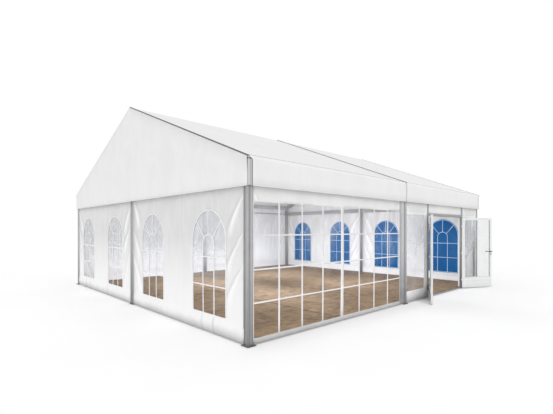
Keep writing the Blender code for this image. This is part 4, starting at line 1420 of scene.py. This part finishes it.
class MARQUEE_OT_gable_covers(bpy.types.Operator):
    """Makes the two gable covers: the triangle and the band under it, in one sheet"""
    bl_idname = "marquee.gable_covers"
    bl_label = "Gable covers"

    def execute(self, context):
        size = sizes()
        for end, sign, seed in (("near", -1, 21), ("far", 1, 22)):
            low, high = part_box(f"gable_cover_{end}")
            wide = high.y
            peak = high.z
            shoulder = peak - ROOF_SLOPE * wide
            outline = [(-wide, HEM_HIGH), (wide, HEM_HIGH), (wide, shoulder + REAR_COVER),
                       (0.03, peak + REAR_COVER - 0.012), (0.0, peak + 0.008), (-0.03, peak + FRONT_COVER - 0.012),
                       (-wide, shoulder + FRONT_COVER)]
            rows = [(y, peak - ROOF_SLOPE * abs(y) - drop) for drop in (0.0, 0.03, 0.06, 0.095, 0.13, 0.17, 0.21)
                    for y in spaced(-wide + 0.03, wide - 0.03, 0.05)]
            points, triangles = cut_sheet(outline, [], 0.06, (HEM_HIGH + 0.03,), np.array(rows))
            out = self.relief(points, wide, peak, seed)
            middle = (low.x + high.x) / 2
            place = np.column_stack([middle + sign * out, points])
            turned = triangles if sign > 0 else triangles[:, ::-1]
            cover = piece_of(f"gable_cloth_{end}", place, turned, "cover cloth", "tent")
            # Painted shade from tone, under the rails and along the foot.
            paint_light_and_shade(cover, self.tone(points, peak))
            thicken(cover, size.cloth_thick)
            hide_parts(f"gable_cover_{end}")
            edges = Parts()
            along = spaced(-wide + 0.004, wide - 0.004, 0.06)
            line = np.column_stack([along, np.full_like(along, HEM_HIGH + 0.004)])
            out = self.relief(line, wide, peak, seed)
            edges.bead(np.column_stack([middle + sign * out, line]), 0.005, 8)
            beads = edges.made(f"gable_edges_{end}", "welded strip", "tent", "cover_pvc", 0.0, True)
        return ready()

    def relief(self, points, wide, peak, seed):
        """How far the gable cloth stands out."""
        y, z = points.T
        roof = peak - ROOF_SLOPE * np.abs(y) + np.where(y > 0, REAR_COVER, FRONT_COVER)
        from_roof = eased((roof - z) / 0.35)
        from_side = eased((wide - np.abs(y)) / 0.06)
        up = np.clip((z - HEM_HIGH) / (peak - HEM_HIGH), 0, 1)
        soft = np.array([noise.fractal(Vector((a * 1.1, b * 0.7, seed)), 0.8, 2.0, 3) for a, b in points])
        wave = np.sin(2 * math.pi * y / 0.83 + seed) + 0.6 * np.sin(2 * math.pi * y / 0.47 + 3.0)
        out = 0.016 * np.cos(math.pi * y / (2 * wide)) * (1 - up) ** 0.5
        out = out + 0.008 * (soft + 0.35)
        out = out + 0.0035 * (wave + 1.2) * (1 - eased((z - HEM_HIGH) / 0.7))
        for k in range(7):
            for sign in (-1, 1):
                start = 0.5 + 0.5 * k
                along = np.clip((peak - ROOF_SLOPE * start - z) / 0.8, 0, 1)
                centre = sign * (start - 0.25 * along)
                out = out + 0.005 * np.exp(-((y - centre) / 0.06) ** 2) * np.sin(math.pi * along) ** 2
        lap = 0.0085 * eased((z - roof + 0.26) / 0.20)
        return np.maximum(out, 0.0) * from_roof * from_side + lap

    def tone(self, points, peak):
        """Painted shade on the cloth under the front rail, fainter under the rear rail, and along its foot."""
        y, z = points.T
        under = np.maximum(peak - ROOF_SLOPE * np.abs(y) - z, 0.0)
        return -0.26 * np.exp(-under / 0.09) * eased((0.05 - y) / 0.1) - 0.12 * np.exp(-under / 0.06) * (
            y > 0.05) - 0.16 * (1.0 - eased((z - HEM_HIGH) / 0.09))


# The walls.


def wall_edges(wall, name, low_u, high_u, top):
    """The rope-edged sides of a wall and its foot, as one piece."""
    parts = Parts()
    heights = spaced(WALL_FOOT + 0.004, top, 0.06)
    for u in (low_u + 0.004, high_u - 0.004):
        line = wall.place(np.column_stack([np.full_like(heights, u), heights]))
        parts.bead(line, 0.0042, 8)
    along = spaced(low_u + 0.006, high_u - 0.006, 0.05)
    line = wall.place(np.column_stack([along, np.full_like(along, WALL_FOOT + 0.0045)]))
    parts.bead(line, 0.0048, 8)
    return parts.made(name, "welded strip", "tent", "wall_pvc", 0.0, True)


class MARQUEE_OT_gable_walls(bpy.types.Operator):
    """Makes the gable walls with their arched windows, bars and films"""
    bl_idname = "marquee.gable_walls"
    bl_label = "Gable walls"

    def execute(self, context):
        seed = 31
        for end in ENDS:
            for side in SIDES:
                self.wall(end, side, seed)
                seed += 1
        return ready()

    def wall(self, end, side, seed):
        """One wall with two windows."""
        size = sizes()
        node_name = f"gable_wall_{end}_{side}"
        low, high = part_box(node_name)
        middles = [SIDES[side] * m for m in WINDOW_MIDDLES]
        half = WINDOW_WIDE / 2
        quiet = [(m - half, WINDOW_FOOT, m + half, WINDOW_SPRING + WINDOW_RISE) for m in middles]
        creases = [m + d for m in middles for d in (-half / 3, half / 3, half + 0.04)]
        # Painted shadow beside the wall's two edges, deeper at one of them.
        shades = [(0.2, 0.03), (0.62, 0.075)] if side == "front" else [(0.2, 0.02), (0.5, 0.05)]
        clamps = (CORNER_TRACK, TRACK_WIDE) if side == "front" else (TRACK_WIDE, CORNER_TRACK)
        wall = Hanging(end, (low.y, high.y), high.z, seed, 3, creases, quiet, 0.30, clamps, shades)
        windows = [arch(m) for m in middles]
        cloth, area = hang_cloth(wall, f"gable_sheet_{end}_{side}",
                                 rectangle(low.y, WALL_FOOT, high.y, high.z), windows, 0.045,
                                 "gable cloth" if end == "near" else "far cloth", size.cloth_thick,
                                 lines=(0.03, 0.05, 0.08))
        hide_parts(node_name)
        strips = Strips(wall)
        bar, border = size.window_bar, size.window_border
        lift = size.cloth_thick / 2 + 0.0012
        for m, outline in zip(middles, windows):
            strips.ring(outline, -0.004, border, lift)
            self.bars(strips, m, bar, lift - 0.0014)
            strips.ring(outline, -0.004, border, -0.0075)
            self.bars(strips, m, bar, -0.0068)
        bars = strips.made(f"window_bars_{end}_{side}", 0.0016, "wall_pvc",
                           "welded strip" if end == "near" else "tinted strip")
        edges = wall_edges(wall, f"gable_wall_edges_{end}_{side}", low.y, high.y, high.z)
        self.films(wall, end, side, middles)

    def bars(self, strips, m, wide, out):
        """The bars of one window: two uprights, an inner arch, two level bars and three rays."""
        third = WINDOW_WIDE / 6
        inner = 1.425
        for x in (m - third, m + third):
            strips.line([(x, WINDOW_FOOT), (x, inner)], wide, out)
        turns = [math.pi * k / 12 for k in range(13)]
        strips.line([(m + third * math.cos(t), inner + third * math.sin(t)) for t in turns], wide, out + 0.0002)
        for level in (0.76, 1.22):
            strips.line([(m - WINDOW_WIDE / 2, level), (m + WINDOW_WIDE / 2, level)], wide, out + 0.0004)
        for angle in (42, 90, 138):
            t = math.radians(angle)
            start = (m + third * math.cos(t), inner + third * math.sin(t))
            end = (m + WINDOW_WIDE / 2 * math.cos(t), WINDOW_SPRING + WINDOW_RISE * math.sin(t))
            strips.line([start, end], wide, out + 0.0006)

    def films(self, wall, end, side, middles):
        """The clear or blue film behind the two windows."""
        node_name = f"gable_film_{end}_{side}"
        parts_points, parts_faces, area = [], [], 0.0
        for m in middles:
            outline = shifted(arch(m), 0.025)
            points, triangles = cut_sheet(outline, [], 0.045)
            bend = sizes().film_crinkle * np.array([
                noise.fractal(Vector((p[0] * 5.0, p[1] * 3.5, wall.seed * 1.7)), 0.6, 2.2, 4) for p in points])
            bend *= eased(inner_gap(points, m) / 0.10)
            first = len(parts_points)
            parts_points.extend(wall.place(points, bend - 0.0032))
            parts_faces.extend(wall.turned(triangles) + first)
            area += flat_area(points, triangles)
        tint = "blue window" if end == "far" else "clear window"
        film_piece = piece_of(f"window_film_{end}_{side}", parts_points, parts_faces, tint, "tent")
        thicken(film_piece, 0.0012)
        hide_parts(node_name)


def inner_gap(points, middle):
    """How far points lie inside the rectangle round an arched window."""
    u, v = points.T
    return np.minimum(WINDOW_WIDE / 2 - np.abs(u - middle), np.minimum(v - WINDOW_FOOT,
                      WINDOW_SPRING + WINDOW_RISE - v))


class MARQUEE_OT_rear_walls(bpy.types.Operator):
    """Makes the two plain rear walls"""
    bl_idname = "marquee.rear_walls"
    bl_label = "Rear walls"

    def execute(self, context):
        for end, seed in (("near", 41), ("far", 42)):
            node_name = f"rear_wall_{end}"
            low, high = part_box(node_name)
            held = RIGHT_TRACK + 0.005
            clamps = (0.0, held) if end == "near" else (held, 0.0)
            wall = Hanging("rear", (low.x, high.x), high.z, seed, 4, clamps=clamps)
            cloth, area = hang_cloth(wall, f"rear_sheet_{end}", rectangle(low.x, WALL_FOOT, high.x, high.z),
                                     [], 0.05, "far cloth", sizes().cloth_thick,
                                     lines=(0.03, 0.05, 0.08))
            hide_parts(node_name)
            edges = wall_edges(wall, f"rear_wall_edges_{end}", low.x, high.x, high.z)
        return ready()


class MARQUEE_OT_panorama(bpy.types.Operator):
    """Makes the panorama wall: a white grid of eight by four panes over clear film"""
    bl_idname = "marquee.panorama"
    bl_label = "Panorama wall"

    def execute(self, context):
        size = sizes()
        low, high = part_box("panorama_wall")
        left, right = low.x + 0.02, high.x - 0.172
        wall = Hanging("front", (low.x, high.x), high.z, 51, 2, (), [(left, PANORAMA_FOOT, right, PANORAMA_TOP)],
                       PANORAMA_FOOT - 0.004, (0.0, LEFT_TRACK))
        pane = (right - left - 6 * size.panorama_bar - size.panorama_middle) / 8
        panes, u = [], left
        rail = size.panorama_rail / 2
        levels = [PANORAMA_FOOT, 0.60, 1.08, 1.575, PANORAMA_TOP]
        for column in range(8):
            for row in range(4):
                foot = levels[row] + (rail if row else 0)
                top = levels[row + 1] - (rail if row < 3 else 0)
                panes.append(rectangle(u, foot, u + pane, top))
            u += pane + (size.panorama_middle if column == 3 else size.panorama_bar)
        cloth, area = hang_cloth(wall, "panorama_sheet", rectangle(low.x, WALL_FOOT, high.x, high.z), panes,
                                 0.045, "wall cloth", size.cloth_thick, lines=(0.03, 0.05, 0.08))
        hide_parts("panorama_wall")
        edges = wall_edges(wall, "panorama_edges", low.x, high.x, high.z)
        low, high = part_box("panorama_film")
        film_piece, area = hang_cloth(wall, "panorama_clear", rectangle(low.x + 0.006, low.z, high.x - 0.006,
                                                                       high.z), [], 0.05, "panorama window",
                                      0.0012, -0.0032, crinkle=size.film_crinkle * 0.8,
                                      panes=panes)
        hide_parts("panorama_film")
        return ready()


class MARQUEE_OT_door_sides(bpy.types.Operator):
    """Makes the narrow walls beside the door and the panel over it"""
    bl_idname = "marquee.door_sides"
    bl_label = "Door side walls"

    def execute(self, context):
        size = sizes()
        for side, seed in (("left", 61), ("right", 62)):
            node_name = f"door_side_wall_{side}"
            low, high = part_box(node_name)
            near, far = (0.045, 0.165) if side == "left" else (0.05, 0.05)
            opening = rectangle(low.x + near, 0.26, high.x - far, 2.01)
            # The last values set the painted shadow beside the wall's two edges, faint at its high end.
            wall = Hanging("front", (low.x, high.x), high.z, seed, 2, (), [(*opening[0], *opening[2])], 0.25,
                           (0.04, 0.0) if side == "left" else (0.0, 0.0), ((0.3, 0.022), (0.05, 0.022)))
            cloth, area = hang_cloth(wall, f"door_side_sheet_{side}",
                                     rectangle(low.x, WALL_FOOT, high.x, high.z), [opening], 0.035,
                                     "wall cloth", size.cloth_thick, lines=(0.03, 0.05, 0.08))
            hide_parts(node_name)
            strips = Strips(wall)
            strips.ring(opening, -0.003, 0.022, size.cloth_thick / 2 + 0.0010)
            strips.line([(low.x + 0.045, 2.032), (high.x - 0.04, 2.032)], 0.055, size.cloth_thick / 2 + 0.0014)
            border = strips.made(f"door_side_border_{side}", 0.0016, "wall_pvc")
            edges = wall_edges(wall, f"door_side_edges_{side}", low.x, high.x, high.z)
            film_node = f"door_side_film_{side}"
            low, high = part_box(film_node)
            clear, area = hang_cloth(wall, f"door_side_clear_{side}", rectangle(low.x, low.z, high.x, high.z), [],
                                     0.045, "side window", 0.0012, -0.0034,
                                     crinkle=size.film_crinkle, panes=[opening])
            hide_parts(film_node)
        low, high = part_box("transom_panel")
        wall = Hanging("front", (low.x, high.x), high.z, 65, 0)
        panel, area = hang_cloth(wall, "transom_sheet", rectangle(low.x, low.z, high.x, high.z), [], 0.05,
                                 "wall cloth", size.cloth_thick)
        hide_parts("transom_panel")
        return ready()


# The door.


def leaf_place(side, point):
    """Where a point of a closed leaf is when the leaf stands open at rest."""
    hinge = HINGES[side]
    turn = -LEAF_OPEN if side == "left" else LEAF_OPEN
    return hinge + Matrix.Rotation(turn, 3, "Z") @ (Vector(point) - hinge)


class MARQUEE_OT_door(bpy.types.Operator):
    """Finishes the door frame and its two leaves, with their seals, lever and lock"""
    bl_idname = "marquee.door"
    bl_label = "Double door"

    def execute(self, context):
        cad(["door_frame"], "door metal")
        cad(["door_leaf_left", "door_leaf_right"], "powder coat")
        cad(["door_glass_left", "door_glass_right"], "door glass")
        cad(["door_handle"], "handle steel")
        for side, low_u, high_u in (("left", 1.218, 2.246), ("right", 2.254, 3.282)):
            self.seals(side, low_u, high_u)
            self.kick_frame(side, low_u, high_u)
        self.lock()
        self.sill()
        self.stops()
        return ready()

    def kick_frame(self, side, low_u, high_u):
        """A raised grey moulding round the lower panel of a leaf, on both faces."""
        frame_bars = Parts()
        left, right, foot, top, wide = low_u + 0.040, high_u - 0.040, 0.058, 0.258, 0.012
        for face, out in ((-4.04, -0.0022), (-4.0, 0.0022)):
            for a, b in (((left, foot), (right, foot + wide)), ((left, top - wide), (right, top)),
                         ((left, foot + wide), (left + wide, top - wide)),
                         ((right - wide, foot + wide), (right, top - wide))):
                frame_bars.block((a[0], min(face, face + out), a[1]), (b[0], max(face, face + out), b[1]))
        frame_bars.points = [leaf_place(side, p) for p in frame_bars.points]
        frame_bars.made(f"kick_frame_{side}", "rubber seal", f"{side}_leaf", "door_white", 0.0008)

    def sill(self):
        """The pale plate over the threshold, with its grooved front lip."""
        plate = Parts()
        outline = [(-4.0425, 0.006), (-4.0402, 0.006), (-4.0402, 0.0182), (-3.9650, 0.0182), (-3.9650, 0.0202),
                   (-4.0300, 0.0202), (-4.0310, 0.0194), (-4.0330, 0.0194), (-4.0340, 0.0202), (-4.0425, 0.0202)]
        plate.bar(outline, [lambda p, x=x: (x, p[0], p[1]) for x in (1.2115, 3.2885)])
        plate.made("door_sill", "sill metal", "tent", "frame_aluminium")

    def stops(self):
        """White strips on the inner faces of the door's posts, that the closed leaves rest against."""
        stop = Parts()
        for low_x, high_x in ((1.2102, 1.2160), (3.2840, 3.2898)):
            stop.block((low_x, -3.9975, 0.045), (high_x, -3.9620, 1.997))
        stop.made("door_stops", "powder coat", "tent", "door_white", 0.0008)

    def seals(self, side, low_u, high_u):
        """Rubber round the glass on both faces of a leaf."""
        seal = Parts()
        left, right, foot, top = low_u + 0.055, high_u - 0.055, 0.305, 1.937
        for face in (-4.0345, -4.0055):
            for a, b in (((left, foot), (right, foot + 0.009)), ((left, top - 0.009), (right, top)),
                         ((left, foot + 0.009), (left + 0.009, top - 0.009)),
                         ((right - 0.009, foot + 0.009), (right, top - 0.009))):
                seal.block((a[0], face - 0.0045, a[1]), (b[0], face + 0.0045, b[1]))
        seal.points = [leaf_place(side, p) for p in seal.points]
        seal.made(f"glass_seal_{side}", "rubber seal", f"{side}_leaf", "door_white", 0.001)

    def lock(self):
        """The lock cylinder under the lever and the plates round both, on both faces."""
        lock = Parts()
        x = 2.254 + 0.0275
        for out, face in ((-1, -4.04), (1, -4.0)):
            far = face + out * 0.012
            lock.rod(leaf_place("right", (x, face, 0.955)), leaf_place("right", (x, far, 0.955)), 0.009, 20, 0.001)
            near = face + out * 0.004
            lock.rod(leaf_place("right", (x, face, 0.955)), leaf_place("right", (x, near, 0.955)), 0.019, 28, 0.001)
        lock.made("lock_cylinder", "handle steel", "right_leaf", "handle_steel", 0.0)


# The floor.


class MARQUEE_OT_floor(bpy.types.Operator):
    """Makes the timber floor of panels with open joints, notched round the posts"""
    bl_idname = "marquee.floor"
    bl_label = "Timber floor"

    def execute(self, context):
        size = sizes()
        low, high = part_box("floor_deck")
        rows = max(1, round((high.y - low.y) / size.panel_wide))
        columns = 4
        gap = size.panel_joint * 2.2
        tight = gap * 0.35
        boards = Parts()
        for i in range(columns):
            for j in range(rows):
                x0 = low.x + (high.x - low.x) * i / columns + (gap if i else 0)
                x1 = low.x + (high.x - low.x) * (i + 1) / columns - (gap if i < columns - 1 else 0)
                y0 = low.y + (high.y - low.y) * j / rows + (tight if j else 0)
                y1 = low.y + (high.y - low.y) * (j + 1) / rows - (tight if j < rows - 1 else 0)
                boards.block((x0, y0, 0.004), (x1, y1, PANEL_TOP))
        panels = boards.made("floor_panels", "floor board", "tent", "floor_wood")
        notches = Parts()
        for x in POST_LINES:
            for y in (-SIDE_LINE, SIDE_LINE):
                notches.block((x - 0.081, y - 0.081, -0.1), (x + 0.081, y + 0.081, 0.1))
        for x in (-4.5, 4.5):
            notches.block((x - 0.071, -0.071, -0.1), (x + 0.071, 0.071, 0.1))
        notches.block((1.129, -4.1, -0.1), (3.371, -3.9595, 0.1))
        bearers = Parts()
        bearers.block((low.x + 0.004, low.y + 0.004, 0.0006), (high.x - 0.004, high.y - 0.004, 0.0032))
        for k in range(19):
            x = low.x + 0.03 + (high.x - low.x - 0.12) * k / 18
            bearers.block((x, low.y + 0.006, 0.0004), (x + 0.06, high.y - 0.006, 0.0034))
        under = bearers.made("floor_bearers", "board edge", "tent", "floor_wood")
        for piece in (panels, under):
            carved(piece, notches.made("notches", "board edge"))
        ease = panels.modifiers.new("eased edges", "BEVEL")
        ease.width = 0.0022
        ease.segments = 2
        ease.limit_method = "ANGLE"
        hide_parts("floor_deck")
        return ready()


def carved(piece, cutter):
    """Cuts one piece with another, keeps the result and removes the cutter."""
    cut = piece.modifiers.new("notches", "BOOLEAN")
    cut.operation = "DIFFERENCE"
    cut.solver = "EXACT"
    cut.object = cutter
    seen = piece.evaluated_get(bpy.context.evaluated_depsgraph_get())
    mesh = bpy.data.meshes.new_from_object(seen)
    piece.modifiers.clear()
    piece.data = mesh
    bpy.data.objects.remove(cutter)


# The stage.


class MARQUEE_OT_stage(bpy.types.Operator):
    """Sets the pale floor, the soft lights and the camera"""
    bl_idname = "marquee.stage"
    bl_label = "Studio"

    def execute(self, context):
        scene = context.scene
        scene.view_settings.view_transform = "Standard"
        count, reach = 64, 90.0
        rings = [0.0, 6.0, 12.0, 30.0, reach]
        points = [(0.0, 0.0, 0.0)]
        for ring in rings[1:]:
            points += [(ring * math.cos(2 * math.pi * k / count), ring * math.sin(2 * math.pi * k / count), 0.0)
                       for k in range(count)]
        faces = [(0, 1 + k, 1 + (k + 1) % count) for k in range(count)]
        for r in range(len(rings) - 2):
            a, b = 1 + r * count, 1 + (r + 1) * count
            faces += [(a + k, b + k, b + (k + 1) % count, a + (k + 1) % count) for k in range(count)]
        mesh = bpy.data.meshes.new("studio_floor")
        mesh.from_pydata(points, [], faces)
        mesh.materials.append(finish("studio floor"))
        ground = bpy.data.objects.new("studio_floor", mesh)
        scene.collection.objects.link(ground)
        ground.location.z = -0.001
        world = bpy.data.worlds.new("studio")
        world.use_nodes = True
        tree = world.node_tree
        sky = tree.nodes["Background"]
        sky.inputs["Color"].default_value = (1.0, 1.0, 1.0, 1.0)
        sky.inputs["Strength"].default_value = 0.80
        backdrop = node(tree, "Background", None, {"Color": (1.0, 1.0, 1.0, 1.0), "Strength": 1.0})
        rays = node(tree, "LightPath").outputs
        seen = maths(tree, "MAXIMUM", rays["Is Camera Ray"], rays["Is Transmission Ray"])
        both = node(tree, "MixShader", None, {0: seen, 1: sky.outputs[0], 2: backdrop.outputs[0]})
        tree.links.new(both.outputs[0], tree.nodes["World Output"].inputs["Surface"])
        scene.world = world
        self.sun((0.42, 0.50, -0.66), 1.05, 34.0)
        for heading, long in (((1, 0, 0), 5.0), ((-1, 0, 0), 5.0), ((0, 1, 0), 6.0), ((0, -1, 0), 6.0)):
            self.glow(Vector(heading), (long, 0.9), 80.0, 0.95)
        self.glow(Vector((0, 0, -1)), (4.6, 3.6), 34.0, 2.2)
        self.camera(scene)
        return ready()

    def sun(self, heading, strength, soft):
        """A broad soft sun."""
        data = bpy.data.lights.new("soft sun", "SUN")
        data.energy = strength
        data.angle = math.radians(soft)
        lamp = bpy.data.objects.new("soft_sun", data)
        lamp.rotation_euler = Vector(heading).to_track_quat("-Z", "Y").to_euler()
        bpy.context.scene.collection.objects.link(lamp)

    def glow(self, heading, spread, power, level):
        """A soft light inside the marquee that no view shows."""
        data = bpy.data.lights.new("inside light", "AREA")
        data.shape = "RECTANGLE"
        data.size, data.size_y = spread
        data.spread = math.radians(115.0)
        data.energy = power
        data.color = (0.88, 0.92, 1.0)
        lamp = bpy.data.objects.new("inside_light", data)
        lamp.location = Vector((0.0, 0.0, level)) + heading * 0.1
        lamp.rotation_euler = heading.to_track_quat("-Z", "Y").to_euler()
        lamp.visible_camera = False
        lamp.visible_glossy = False
        lamp.visible_transmission = False
        bpy.context.scene.collection.objects.link(lamp)

    def camera(self, scene):
        """The camera at the photograph's place."""
        data = bpy.data.cameras.new("camera")
        data.sensor_width = 36.0
        data.lens = 368.5 / 553 * 36
        data.shift_x = 15.784 / 553
        data.shift_y = 24.1 / 553
        data.clip_end = 300
        eye = bpy.data.objects.new("camera", data)
        eye.location = (-7.8696, -8.0307, 1.6573)
        yaw, pitch = 0.8417, -0.0038
        ahead = Vector((math.cos(yaw) * math.cos(pitch), math.sin(yaw) * math.cos(pitch), math.sin(pitch)))
        eye.rotation_euler = ahead.to_track_quat("-Z", "Y").to_euler()
        scene.collection.objects.link(eye)
        scene.camera = eye


OPERATORS = (
    MARQUEE_OT_stage, MARQUEE_OT_posts, MARQUEE_OT_beams, MARQUEE_OT_roof_covers, MARQUEE_OT_gable_covers,
    MARQUEE_OT_gable_walls, MARQUEE_OT_rear_walls, MARQUEE_OT_panorama, MARQUEE_OT_door_sides,
    MARQUEE_OT_door, MARQUEE_OT_floor,
)


class MARQUEE_PT_panel(bpy.types.Panel):
    """The marquee's pieces, sizes and colours"""
    bl_idname = "MARQUEE_PT_panel"
    bl_label = "Marquee tent"
    bl_space_type = "VIEW_3D"
    bl_region_type = "UI"
    bl_category = "Marquee"

    def draw(self, context):
        for operator in OPERATORS:
            self.layout.operator(operator.bl_idname)
        for group in (context.scene.tent_sizes, context.scene.tent_colours):
            box = self.layout.box()
            for name in type(group).__annotations__:
                box.prop(group, name)


CLASSES = (TentSizes, TentColours, *OPERATORS, MARQUEE_PT_panel)


def register():
    """Adds the marquee's classes and settings."""
    for made in CLASSES:
        bpy.utils.register_class(made)
    bpy.types.Scene.tent_sizes = bpy.props.PointerProperty(type=TentSizes)
    bpy.types.Scene.tent_colours = bpy.props.PointerProperty(type=TentColours)


def unregister():
    """Takes the marquee's classes and settings away."""
    del bpy.types.Scene.tent_colours
    del bpy.types.Scene.tent_sizes
    for made in reversed(CLASSES):
        bpy.utils.unregister_class(made)


def main():
    """Makes every piece."""
    register()
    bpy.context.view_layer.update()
    for operator in OPERATORS:
        group, name = operator.bl_idname.split(".")
        getattr(getattr(bpy.ops, group), name)()


if __name__ == "__main__":
    main()
